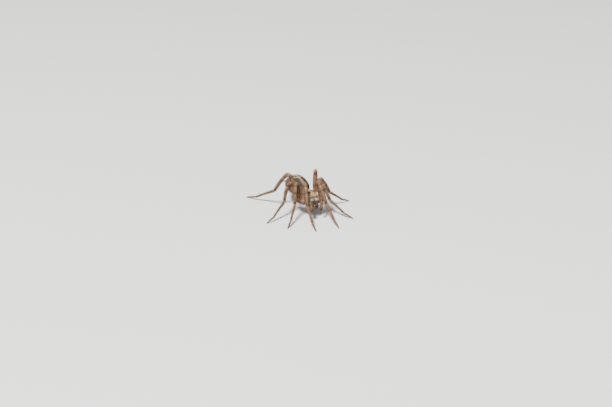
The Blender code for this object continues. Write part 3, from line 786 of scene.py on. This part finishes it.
LEG_LENGTHS = {
    1: (4.7, 1.9, 3.9, 4.2, 2.4),
    2: (4.4, 1.8, 3.4, 3.9, 2.2),
    3: (4.1, 1.6, 3.0, 4.1, 2.0),
    4: (5.1, 1.8, 4.4, 5.6, 2.5),
}
LEG_THICKNESS = {1: 1.0, 2: 0.97, 3: 0.92, 4: 1.0}
COXA_ROOT = {
    1: (0.72, -4.06, 2.88),
    2: (0.90, -3.18, 2.82),
    3: (0.90, -2.30, 2.82),
    4: (0.75, -1.44, 2.88),
}
FEMUR_ROOT = {
    1: (2.12, -4.92, 3.00),
    2: (2.58, -3.72, 2.98),
    3: (2.60, -2.34, 2.98),
    4: (2.10, -0.92, 3.00),
}
LEG_BENDS = (0.0, -12.0, 26.0, 12.0)
LEG_BOWS = (0.16, 0.0, 0.10, 0.06, 0.05)
KNEE_ROUNDING = 0.56
JOINT_ROUNDING = 0.9
BOW_ROUNDING = 9.0
FEET = {
    ("right", 1): ((-2.75, -13.3), -8.0),
    ("right", 2): ((-7.3, -9.7), 9.5),
    ("right", 3): ((-10.1, -5.5), 21.0),
    ("right", 4): ((-8.5, 10.4), -2.0),
    ("left", 1): ((2.1, -13.3), 11.5),
    ("left", 2): ((6.8, -9.4), -1.0),
    ("left", 3): ((10.1, 0.5), -9.5),
    ("left", 4): ((7.3, 10.6), 0.0),
}
FOOT_HEIGHT = 0.06
FOOT_RADIUS = 0.20
LEG_SKIN_DEPTH = 0.035
FOOT_COAT_DEPTH = 0.05


def leg_corners(side, number):
    """Corners of a leg's centreline: root, femur root, knee, joints and foot, and its plane."""
    lengths = LEG_LENGTHS[number]
    (foot_x, foot_y), lean = FEET[side, number]
    root = mirrored(COXA_ROOT[number], SIDES[side])
    hip = mirrored(FEMUR_ROOT[number], SIDES[side])
    foot = Vector((foot_x, foot_y, FOOT_HEIGHT))
    reach = foot - hip
    ahead = reach.normalized()
    up = (Vector((0, 0, 1)) - ahead * ahead.z).normalized()
    sideways = ahead.cross(up)
    lean = math.radians(lean)
    up = up * math.cos(lean) + sideways * math.sin(lean)

    # Outer leg in its own plane, from the knee outwards
    chain = [(0.0, 0.0)]
    angle = 0.0
    for length, bend in zip(lengths[1:], LEG_BENDS):
        angle += math.radians(bend)
        chain.append((chain[-1][0] + length * math.cos(angle), chain[-1][1] + length * math.sin(angle)))
    chord = math.hypot(*chain[-1])

    # Knee from the femur's length and the chord
    femur = lengths[0]
    cosine = (femur**2 + reach.length**2 - chord**2) / (2 * femur * reach.length)
    knee = hip + femur * (cosine * ahead + math.sqrt(1 - cosine**2) * up)
    along = (foot - knee).normalized()
    above = (up * ahead.dot(along) - ahead * up.dot(along)).normalized()
    turn = -math.atan2(chain[-1][1], chain[-1][0])
    joints = []
    for x, z in chain[1:]:
        u = x * math.cos(turn) - z * math.sin(turn)
        v = x * math.sin(turn) + z * math.cos(turn)
        joints.append(knee + along * u + above * v)
    across = ahead.cross(up).normalized()
    return [root, hip, knee, *joints], across


def leg_path(side, number):
    """A leg's centreline, bowed along each segment, and the lengths at which its joints lie."""
    corners, across = leg_corners(side, number)
    bowed = [corners[0], corners[1]]
    roundings = [KNEE_ROUNDING]
    kept = [0]
    for a, b, bow in zip(corners[1:], corners[2:], LEG_BOWS):
        if bow:
            outwards = across.cross(b - a).normalized()
            bowed.append((a + b) / 2 + outwards * bow)
            roundings.append(BOW_ROUNDING)
        bowed.append(b)
        kept.append(len(roundings))
        roundings.append(KNEE_ROUNDING if b is corners[2] else JOINT_ROUNDING)
    path = Path(bowed, roundings, across)
    return path, [path.bends[k] for k in kept[:-1]]


def leg_radius(path, joints, scale):
    """Skin's thickness along a leg: stout hip, swollen thigh, rounded knee, then thinner to the foot."""
    hip, knee, patella, tibia, meta = joints
    thigh = knee - hip
    at = (
        0.0, hip - 0.5, hip, hip + 0.10 * thigh, hip + 0.38 * thigh, knee - 0.16 * thigh, knee,
        (knee + patella) / 2, patella, patella + 0.3 * (tibia - patella),
        tibia, tibia + 0.3 * (meta - tibia), meta, meta + 0.4 * (path.total - meta), path.total,
    )
    values = (
        0.35, 0.41, 0.39, 0.40, 0.49, 0.43, 0.40, 0.43, 0.37, 0.38, 0.31, 0.30, 0.265, 0.26,
        FOOT_RADIUS / scale,
    )

    def radius(s):
        coat = LEG_SKIN_DEPTH + FOOT_COAT_DEPTH * rise(patella, meta, s)
        return scale * smooth_value(at, values, s) - coat

    return radius


leg_tan = shell_finish(
    "leg_tan", roughness=0.50, ground=(0.25, 0.122, 0.058), dark=(0.075, 0.033, 0.016),
    pale=(0.44, 0.28, 0.165),
)
leg_hair = hair_finish(
    "leg_hair", ground=(0.250, 0.146, 0.078), dark=(0.056, 0.030, 0.016), pale=(0.58, 0.41, 0.27)
)
spine_black = shell_finish(
    "spine_black", roughness=0.35, grain=0.15, grain_size=30000.0, ground=(0.030, 0.018, 0.012),
    dark=(0.012, 0.008, 0.006), pale=(0.09, 0.05, 0.03),
)
legs = {}
for side, number in FEET:
    path, joints = leg_path(side, number)
    radius = leg_radius(path, joints, LEG_THICKNESS[number])
    hip, knee, patella, tibia, meta = joints
    legs[side, number] = (path, joints, radius)
    rings, lengths = limb_rings(path, radius, 170, 22, FOOT_RADIUS)

    def leg_relief(p, normal, row, turn):
        s = lengths[row]
        lift = -0.07 * hump(0.07, s - hip + 0.12) - 0.05 * hump(0.06, s - hip - 0.42)
        lift -= 0.045 * (hump(0.07, s - knee) + hump(0.07, s - patella) + hump(0.06, s - tibia))
        lift -= 0.03 * hump(0.05, s - meta)
        return lift + 0.008 * noise.noise(p * 4.0)

    def leg_marks(p, normal, row, turn):
        s = lengths[row]
        _, tangent, _ = path.read(s)
        soft = min(sum(hump(0.08, s - j) for j in (hip + 0.42, knee, patella, tibia, meta)), 1.0)
        smudge = sum(
            strength * hump(0.36, s - joint - shift)
            for strength, joint, shift in (
                (0.8, knee, -0.62), (0.6, hip, 1.7), (0.5, patella, -0.45), (0.6, patella, 0.9),
                (0.85, tibia, -0.55), (0.5, tibia, 1.5), (0.75, meta, -0.5),
            )
        )
        streak = 0.75 * abs(math.cos(turn)) ** 2 * band(hip + 0.6, knee - 0.1, 0.3, s)
        dark = min(max(smudge, streak) + 0.4 * rise(meta, path.total, s), 1.0) * (1 - soft)
        low = 1 - rise(0.3, 0.8, p.z)
        cover = (1 - 0.85 * soft) * (1 - low * rise(-0.2, 0.3, -normal.z))
        return {
            "dark": dark, "pale": 0.9 * soft,
            "flow": flat_to(tangent + Vector((0, 0, 0.8 * low)), normal),
            "length": (0.25 - 0.05 * rise(tibia, path.total, s) - 0.04 * hump(0.6, s - knee)) * MM,
            "cover": cover * rise(0.8, 1.1, s) * rise(0.08, 0.2, p.z),
        }

    name = f"leg_{side}_{number}"
    skin = loft(name, rings, leg_relief, leg_marks)
    for vert in skin.vertices:
        vert.co.z = max(vert.co.z, 0.0)
    solids = [f"{name}_{part}" for part in ("coxa", "femur", "tibia", "foot")]
    piece(name + "_skin", skin, leg_tan, "leg", *solids)
    coated(
        name, skin, leg_hair, "leg", short=13000, long=700, seed=40 + 2 * number, rise=0.34, length=1.9,
        stand=0.9,
    )


# Leg spines and claws. The spines are stout black bristles, hinged in sockets, alone or in rings of
# up to four from the thigh to the foot, and slant towards the foot. Two curved claws end each foot.

SPINES = (
    (0, 0.35, (-90,)), (0, 0.55, (-60, -125)), (0, 0.80, (-90, -40, -140)), (1, 0.55, (-90,)),
    (2, 0.20, (-90, 55, 125)), (2, 0.45, (-30, 210)), (2, 0.65, (60, 120, -90)), (2, 0.90, (50, 130)),
    (3, 0.08, (55, 125)), (3, 0.25, (0, 180)), (3, 0.45, (60, 120)), (3, 0.70, (5, 175, -90)),
    (3, 0.94, (50, 130, -20, 200)),
)
SPINE_LENGTHS = (0.66, 0.48, 0.90, 0.80)
SPINE_SLANT = 0.75
CLAW_LENGTH = 0.34
CLAW_SPREAD = 0.45


def points_mesh(name, rows):
    """Loose points in millimetres, each with the direction and length of what grows there."""
    mesh = bpy.data.meshes.new(name)
    mesh.from_pydata([(row[0] + WAIST) * MM for row in rows], [], [])
    store(mesh, "flow", [row[1] for row in rows])
    store(mesh, "up", [row[2] for row in rows])
    store(mesh, "length", [row[3] * MM for row in rows])
    return mesh


set_bristles = hair_tree("set_bristles", False, 6, 5)
spine_rows, claw_rows = [], []
for (side, number), (path, joints, radius) in legs.items():
    ends = [joints[0] + 0.42, *joints[1:], path.total]
    for part, share, angles in SPINES:
        s = ends[part] + (ends[part + 1] - ends[part]) * share
        centre, tangent, across = path.read(s)
        for degrees in angles:
            a = math.radians(degrees)
            out = across * math.cos(a) + tangent.cross(across) * math.sin(a)
            base = centre + out * (radius(s) - 0.03)
            spine_rows.append((base, tangent + out * SPINE_SLANT, out, SPINE_LENGTHS[part]))
    centre, tangent, across = path.read(path.total)
    level = Vector((tangent.x, tangent.y, 0.0)).normalized()
    for lean in (-CLAW_SPREAD, CLAW_SPREAD):
        base = centre - tangent * 0.05 + across * lean * 0.16 + Vector((0, 0, 0.10))
        aim = level + across * lean + Vector((0, 0, 0.35))
        claw_rows.append((base, aim, Vector((0, 0, 1)), CLAW_LENGTH))
spines = grown(
    "leg_spines", points_mesh("spine_points", spine_rows), set_bristles, spine_black, thickness=0.038,
    bend=0.12, rise=0.0, scatter=0.12, seed=5,
)
piece("leg_spines", spines, spine_black, "fang")
claws = grown(
    "claws", points_mesh("claw_points", claw_rows), set_bristles, spine_black, thickness=0.11,
    bend=0.55, rise=0.0, scatter=0.0, seed=6,
)
piece("claws", claws, spine_black, "fang")


# Feelers. A pair of short, leg-like limbs beside the jaws, red-brown, looped forwards and down,
# each on a round mouth lobe with a fringe. They are hairiest and darkest on their last length.

PALP_ROOT = (0.70, -4.72, 2.80)
PALP_JOINTS = {
    "right": (
        (1.40, -5.02, 2.92), (1.58, -6.02, 3.66), (1.33, -6.76, 3.55), (1.20, -7.12, 2.93),
        (1.00, -7.32, 2.08),
    ),
    "left": (
        (1.40, -5.02, 2.92), (1.50, -5.98, 3.62), (1.10, -6.70, 3.47), (0.98, -7.04, 2.85),
        (0.82, -7.20, 2.02),
    ),
}
PALP_ROUNDINGS = (0.36, 0.42, 0.42, 0.5)
PALP_RADII = (0.26, 0.27, 0.27, 0.29, 0.27, 0.27, 0.24)
LOBE_LENGTH, LOBE_WIDTH, LOBE_DEPTH = 0.46, 0.33, 0.34
palp_red = shell_finish(
    "palp_red", roughness=0.4, ground=(0.27, 0.115, 0.055), dark=(0.11, 0.042, 0.022),
    pale=(0.42, 0.25, 0.14),
)
palp_hair = hair_finish(
    "palp_hair", ground=(0.245, 0.134, 0.074), dark=(0.085, 0.042, 0.024), pale=(0.47, 0.33, 0.21)
)
for side, mirror in SIDES.items():
    root = mirrored(PALP_ROOT, mirror)
    path = Path([root, *(mirrored(p, mirror) for p in PALP_JOINTS[side])], PALP_ROUNDINGS)
    bends = path.bends
    at = (0.0, bends[0], 0.5 * (bends[0] + bends[1]), *bends[1:], path.total)
    rings, lengths = limb_rings(path, lambda s: smooth_value(at, PALP_RADII, s), 90, 22, 0.2)

    def palp_relief(p, normal, row, turn):
        s = lengths[row]
        lift = -0.025 - 0.035 * sum(hump(0.05, s - j) for j in bends)
        return lift + 0.006 * noise.noise(p * 5.0)

    def palp_marks(p, normal, row, turn):
        s = lengths[row]
        soft = min(sum(hump(0.06, s - j) for j in bends), 1.0)
        last = rise(bends[-1], path.total, s)
        smudge = 0.5 * sum(hump(0.2, s - j + 0.3) for j in bends[1:])
        return {
            "dark": max(0.9 * last, smudge) * (1 - soft), "pale": 0.7 * soft,
            "flow": flat_to(path.read(s)[1], normal), "length": (0.22 + 0.05 * last) * MM,
            "cover": (1 - 0.8 * soft) * rise(0.5, 0.8, s) * (1 + 0.6 * last),
        }

    limb = loft(f"palp_{side}", rings, palp_relief, palp_marks)
    piece(f"palp_{side}_skin", limb, palp_red, "palp", f"palp_{side}_upper", f"palp_{side}_lower")
    coated(
        f"palp_{side}", limb, palp_hair, "palp", short=6000, long=420, seed=60, rise=0.34, length=1.8,
        stand=0.8,
    )

    # Mouth lobe at the feeler's root
    middle = root + Vector((-0.12 * mirror, 0.06, -0.24))
    lobe_rings = [[middle - Vector((0, LOBE_LENGTH, 0))]]
    for k in range(1, 24):
        a = math.pi * k / 24
        wide, high = LOBE_WIDTH * math.sin(a), LOBE_DEPTH * math.sin(a)
        lobe_rings.append([
            middle + Vector((wide * c, -LOBE_LENGTH * math.cos(a), high * s)) for c, s in circle(32)
        ])
    lobe_rings.append([middle + Vector((0, LOBE_LENGTH, 0))])

    def lobe_marks(p, normal, row, turn):
        fringe = rise(0.1, 0.7, -normal.y) * rise(0.0, 0.6, -normal.x * mirror)
        return {
            "dark": 0.4, "pale": rise(0.4, 0.8, fringe),
            "flow": flat_to(Vector((-0.4 * mirror, -1.0, -0.4)), normal),
            "length": (0.2 + 0.12 * fringe) * MM, "cover": (0.3 + fringe) * rise(-0.3, 0.2, -normal.z),
        }

    lobe = loft(f"lobe_{side}", lobe_rings, lambda p, normal, row, turn: -0.02, lobe_marks)
    piece(f"palp_{side}_lobe", lobe, palp_red, "palp", f"palp_{side}_base")
    coated(
        f"palp_{side}_lobe", lobe, palp_hair, "palp", short=700, long=90, seed=64, rise=0.4, length=1.5,
        stand=0.5,
    )


# Waist. A short narrow stalk of soft, ringed skin, darker above, that carries the abdomen on the
# front body. The front of the abdomen leans over it, so that little of it shows.

ABDOMEN_FRONT = 0.24
WAIST_RADIUS = 0.34
WAIST_Z = 3.46
waist_ends = [Vector((0, BODY_Y[-1] - 0.4, WAIST_Z)), Vector((0, ABDOMEN_FRONT + 0.5, WAIST_Z + 0.08))]
stalk = Path(waist_ends, ())
rings, lengths = limb_rings(stalk, lambda s: WAIST_RADIUS, 60, 40)
waist = loft(
    "waist", rings, lambda p, normal, row, turn: -0.03 + 0.007 * math.sin(lengths[row] * 50.0),
    lambda p, normal, row, turn: {"dark": rise(0.0, 0.9, normal.z), "pale": 0.0},
)
waist_brown = shell_finish("waist_brown", ground=(0.26, 0.16, 0.09), dark=(0.10, 0.055, 0.03))
piece("waist_skin", waist, waist_brown, "waist", "waist")


# Abdomen. A soft, egg-shaped bag of thin, leathery skin with hardly any shell, grey-brown, with a
# reddish stripe at its front and a row of cream angles behind it, mottled sides and a paler belly
# with two smooth lung covers. A dense felt of feathery hairs hides most of the skin.

ABDOMEN_LENGTH = 7.2
ABDOMEN_SHARE = (0.0, 0.12, 0.30, 0.52, 0.72, 0.88, 1.0)
ABDOMEN_HALF_WIDTH = (1.30, 1.66, 2.02, 2.18, 1.98, 1.46, 0.95)
ABDOMEN_TOP = (4.90, 5.42, 5.84, 5.90, 5.55, 4.85, 4.25)
ABDOMEN_BOTTOM = (2.70, 2.32, 2.02, 1.92, 2.05, 2.35, 2.65)
ABDOMEN_FRONT_ROUNDING = 0.95
ABDOMEN_REAR_ROUNDING = 0.85
ABDOMEN_COAT_DEPTH = 0.08
ABDOMEN_LEAN = 0.60
CHEVRONS = (0.37, 0.49, 0.60, 0.70, 0.79, 0.87)


def leaned(point):
    """A point of the abdomen, whose front leans forwards over the waist."""
    share = min((point.y - ABDOMEN_FRONT) / (0.5 * ABDOMEN_LENGTH), 1.0)
    lean = ABDOMEN_LEAN * (1 - share * share * (3 - 2 * share))
    return point - Vector((0, lean * (point.z - WAIST_Z), 0))


def abdomen_section(y, count):
    """A section across the abdomen, a little flatter below than above."""
    share = (y - ABDOMEN_FRONT) / ABDOMEN_LENGTH
    wide = smooth_value(ABDOMEN_SHARE, ABDOMEN_HALF_WIDTH, share)
    top = smooth_value(ABDOMEN_SHARE, ABDOMEN_TOP, share)
    bottom = smooth_value(ABDOMEN_SHARE, ABDOMEN_BOTTOM, share)
    close = rounding_share(y - ABDOMEN_FRONT, ABDOMEN_FRONT_ROUNDING, 2.1)
    close *= rounding_share(ABDOMEN_FRONT + ABDOMEN_LENGTH - y, ABDOMEN_REAR_ROUNDING, 2.1)
    middle = bottom + (top - bottom) * 0.45
    ring = []
    for c, s in circle(count):
        z = (top - middle) * s if s >= 0 else (middle - bottom) * math.copysign(abs(s) ** 0.94, s)
        ring.append(leaned(Vector((wide * c * close, y, middle + z * close))))
    return ring


front, back = ABDOMEN_FRONT, ABDOMEN_FRONT + ABDOMEN_LENGTH
places = spread_places(front, back, ABDOMEN_FRONT_ROUNDING, ABDOMEN_REAR_ROUNDING, 84, 16)
rows = [abdomen_section(y, 112) for y in places]
ends = [
    [leaned(Vector((0, y, sum(p.z for p in row) / len(row))))]
    for y, row in ((front, rows[0]), (back, rows[-1]))
]
shares = [0.0, *((y - front) / ABDOMEN_LENGTH for y in places), 1.0]


def lung_cover(p, share):
    """1 on the two smooth lung covers below the front of the abdomen, 0 outside them."""
    return 1 - rise(0.8, 1.0, math.hypot((abs(p.x) - 0.85) / 0.55, (share - 0.17) * ABDOMEN_LENGTH / 0.50))


def abdomen_relief(p, normal, row, turn):
    """Coat depth, the four dimples where muscles hold the skin, and faint cross folds."""
    share = shares[row]
    lift = -ABDOMEN_COAT_DEPTH
    if normal.z > 0:
        for at, out in ((0.33, 0.42), (0.50, 0.55)):
            spot = math.hypot(abs(p.x) - out, (share - at) * ABDOMEN_LENGTH)
            lift -= 0.06 * hump(0.14, spot)
    else:
        lift += 0.03 * lung_cover(p, share)
        lift -= 0.04 * hump(0.12, (share - 0.28) * ABDOMEN_LENGTH) * (1 - rise(1.0, 1.6, abs(p.x)))
    lift += 0.012 * math.sin(share * 60.0) * rise(0.4, 0.8, share)
    return lift + 0.02 * noise.noise(p * 1.6)


def abdomen_marks(p, normal, row, turn):
    """Markings of the abdomen, and how its hairs grow."""
    share = shares[row]
    wide = smooth_value(ABDOMEN_SHARE, ABDOMEN_HALF_WIDTH, share)
    x = abs(p.x)
    across = x / wide
    upper = rise(-0.15, 0.25, normal.z)
    lower = rise(0.25, 0.7, -normal.z)
    bands = upper * band(0.15, 0.56, 0.09, across) * rise(0.0, 0.1, share)
    bands *= 1 - 0.3 * rise(0.8, 1.0, share)
    mottle = rise(0.0, 0.3, noise.noise(p * 2.4)) * band(0.62, 1.3, 0.08, across) * 0.75
    heart_width = 0.17 - 0.10 * rise(0.05, 0.5, share)
    heart = upper * (1 - rise(heart_width - 0.04, heart_width + 0.04, across)) * rise(0.0, 0.08, share)
    heart *= 1 - rise(0.46, 0.56, share)
    angles = 0.0
    for k, at in enumerate(CHEVRONS):
        lean = (share - at) * ABDOMEN_LENGTH - 0.50 * x
        thick = (0.15 - 0.012 * k) * (1.15 - across)
        angles = max(angles, hump(thick, lean) * (1 - rise(0.40 + 0.03 * k, 0.66, across)))
    angles *= upper
    flecks = rise(0.1, 0.35, noise.noise(p * 3.1 + Vector((7, 0, 0))))
    flecks *= upper * band(0.60, 0.74, 0.05, across)
    belly = lower * (1 - band(-0.3, 0.3, 0.06, x / 1.2)) * 0.6
    lines = lower * band(0.34, 0.46, 0.05, x / 1.2) * rise(0.3, 0.4, share)
    lung = lung_cover(p, share) * lower
    stripe = lower * band(-1, 0.28, 0.06, x / 1.2) * 0.6
    dark = max(bands * (1 - heart) * (1 - angles), mottle * (1 - lower), stripe)
    flow = Vector((0.10 * p.x, 1.0, -0.15))
    if share < 0.06:
        flow = Vector((p.x, 0.6, p.z - 3.6))
    return {
        "dark": dark, "pale": max(0.9 * heart, 0.8 * flecks, 0.6 * belly, lung),
        "white": max(angles, 0.7 * lines),
        "flow": flat_to(flow, normal), "length": (0.26 - 0.05 * lower) * MM,
        "cover": (1 - 0.25 * lower) * (1 - 0.75 * lung),
    }


abdomen = loft("abdomen", [ends[0], *rows, ends[1]], abdomen_relief, abdomen_marks)
abdomen_grey = shell_finish(
    "abdomen_grey", roughness=0.6, grain=0.5, grain_size=11000.0, ground=(0.17, 0.12, 0.085),
    dark=(0.045, 0.030, 0.022), pale=(0.25, 0.14, 0.08), white=(0.50, 0.41, 0.29),
)
piece("abdomen_skin", abdomen, abdomen_grey, "abdomen", "abdomen")
abdomen_hair = hair_finish(
    "abdomen_hair", ground=(0.215, 0.150, 0.098), dark=(0.066, 0.041, 0.026), pale=(0.31, 0.18, 0.11),
    white=(0.62, 0.52, 0.38),
)
coated(
    "abdomen", abdomen, abdomen_hair, "abdomen", short=46000, long=3200, seed=71, rise=0.26, length=1.8,
    stand=0.55,
)


# Spinnerets. Soft jointed fingers at the end of the abdomen that lay the silk: a long pair with a
# tapering second joint, which trails behind, and a short stout pair below it.

spinneret_tan = shell_finish(
    "spinneret_tan", roughness=0.55, ground=(0.34, 0.24, 0.15), dark=(0.11, 0.07, 0.045),
    pale=(0.5, 0.4, 0.28),
)
for side, mirror in SIDES.items():
    for name, corners, radii in (
        ("long", ((0.46, 6.66, 3.44), (0.62, 8.11, 3.30), (0.82, 9.01, 3.06)), (0.27, 0.25, 0.12)),
        ("short", ((0.36, 6.66, 2.86), (0.40, 7.41, 2.56), (0.42, 7.91, 2.36)), (0.26, 0.25, 0.20)),
    ):
        path = Path([mirrored(p, mirror) for p in corners], [1.2])
        joint = path.bends[0]
        rings, lengths = limb_rings(
            path, lambda s: smooth_value((0.0, 0.6, 1.0), radii, s / path.total), 48, 24, 0.12
        )

        def finger_relief(p, normal, row, turn):
            return -0.03 - 0.03 * hump(0.05, lengths[row] - joint)

        def finger_marks(p, normal, row, turn):
            s = lengths[row]
            return {
                "dark": 0.9 * (1 - rise(joint - 0.3, joint, s)), "pale": hump(0.1, s - joint),
                "flow": flat_to(path.read(s)[1], normal), "length": 0.20 * MM, "cover": rise(0.2, 0.6, s),
            }

        label = f"spinneret_{name}_{side}"
        finger = loft(label, rings, finger_relief, finger_marks)
        piece(label + "_skin", finger, spinneret_tan, "spinneret", label)
        coated(
            label, finger, abdomen_hair, "spinneret", short=1400, long=90, seed=81, rise=0.25, length=1.6,
            stand=0.6,
        )


# Floor, light and camera. A plain pale studio floor, one large soft light high at the left, a
# weaker one at the right, and the camera in front, above and to the spider's right. Its aim puts
# the eyes a little right of and above the middle of the picture.

FLOOR_REACH = 6.0
bm = bmesh.new()
bmesh.ops.create_grid(bm, x_segments=1, y_segments=1, size=FLOOR_REACH)
floor = placed("floor", mesh_from("floor", bm))
floor_pale, tree, shader = new_finish("floor_pale")
place = node(tree, "ShaderNodeTexCoord").outputs["Object"]
cloud = node(tree, "ShaderNodeTexNoise", {"Vector": place, "Scale": 8.0, "Detail": 2.0}).outputs[0]
colour = mixed(tree, cloud, (0.70, 0.69, 0.67, 1.0), (0.74, 0.73, 0.71, 1.0))
tree.links.new(colour, shader.inputs["Base Color"])
shader.inputs["Roughness"].default_value = 0.85
floor.data.materials.append(floor_pale)

world = bpy.data.worlds.new("studio")
world.use_nodes = True
world.node_tree.nodes["Background"].inputs[0].default_value = (0.80, 0.82, 0.85, 1.0)
world.node_tree.nodes["Background"].inputs[1].default_value = 0.34
bpy.context.scene.world = world
for name, place, size, power in (
    ("key_light", (-0.40, -0.35, 0.80), 0.22, 29.0),
    ("fill_light", (0.60, -0.50, 0.40), 0.60, 1.5),
):
    light = bpy.data.lights.new(name, "AREA")
    light.size = size
    light.energy = power
    lamp = placed(name, light)
    lamp.location = place
    lamp.rotation_euler = (-Vector(place)).to_track_quat("-Z", "Y").to_euler()

AZIMUTH, ELEVATION, DISTANCE = math.radians(-22.0), math.radians(20.0), 0.34
LENS, SENSOR = 100.0, 36.0
PICTURE_WIDTH = 612.0
EYES_AT = Vector((0.0, -0.00386, 0.0045))
EYES_RIGHT, EYES_UP = 7.5, 8.0
back = Vector((
    math.sin(AZIMUTH) * math.cos(ELEVATION), -math.cos(AZIMUTH) * math.cos(ELEVATION), math.sin(ELEVATION)
))
right = Vector((math.cos(AZIMUTH), math.sin(AZIMUTH), 0.0))
up = back.cross(right)
pixel = DISTANCE * SENSOR / LENS / PICTURE_WIDTH
aim = EYES_AT - right * EYES_RIGHT * pixel - up * EYES_UP * pixel
camera = placed("camera", bpy.data.cameras.new("camera"))
camera.data.lens = LENS
camera.data.sensor_width = SENSOR
camera.data.clip_start = 0.01
camera.data.clip_end = 50.0
camera.location = aim + back * DISTANCE
camera.rotation_euler = (-back).to_track_quat("-Z", "Y").to_euler()
bpy.context.scene.camera = camera
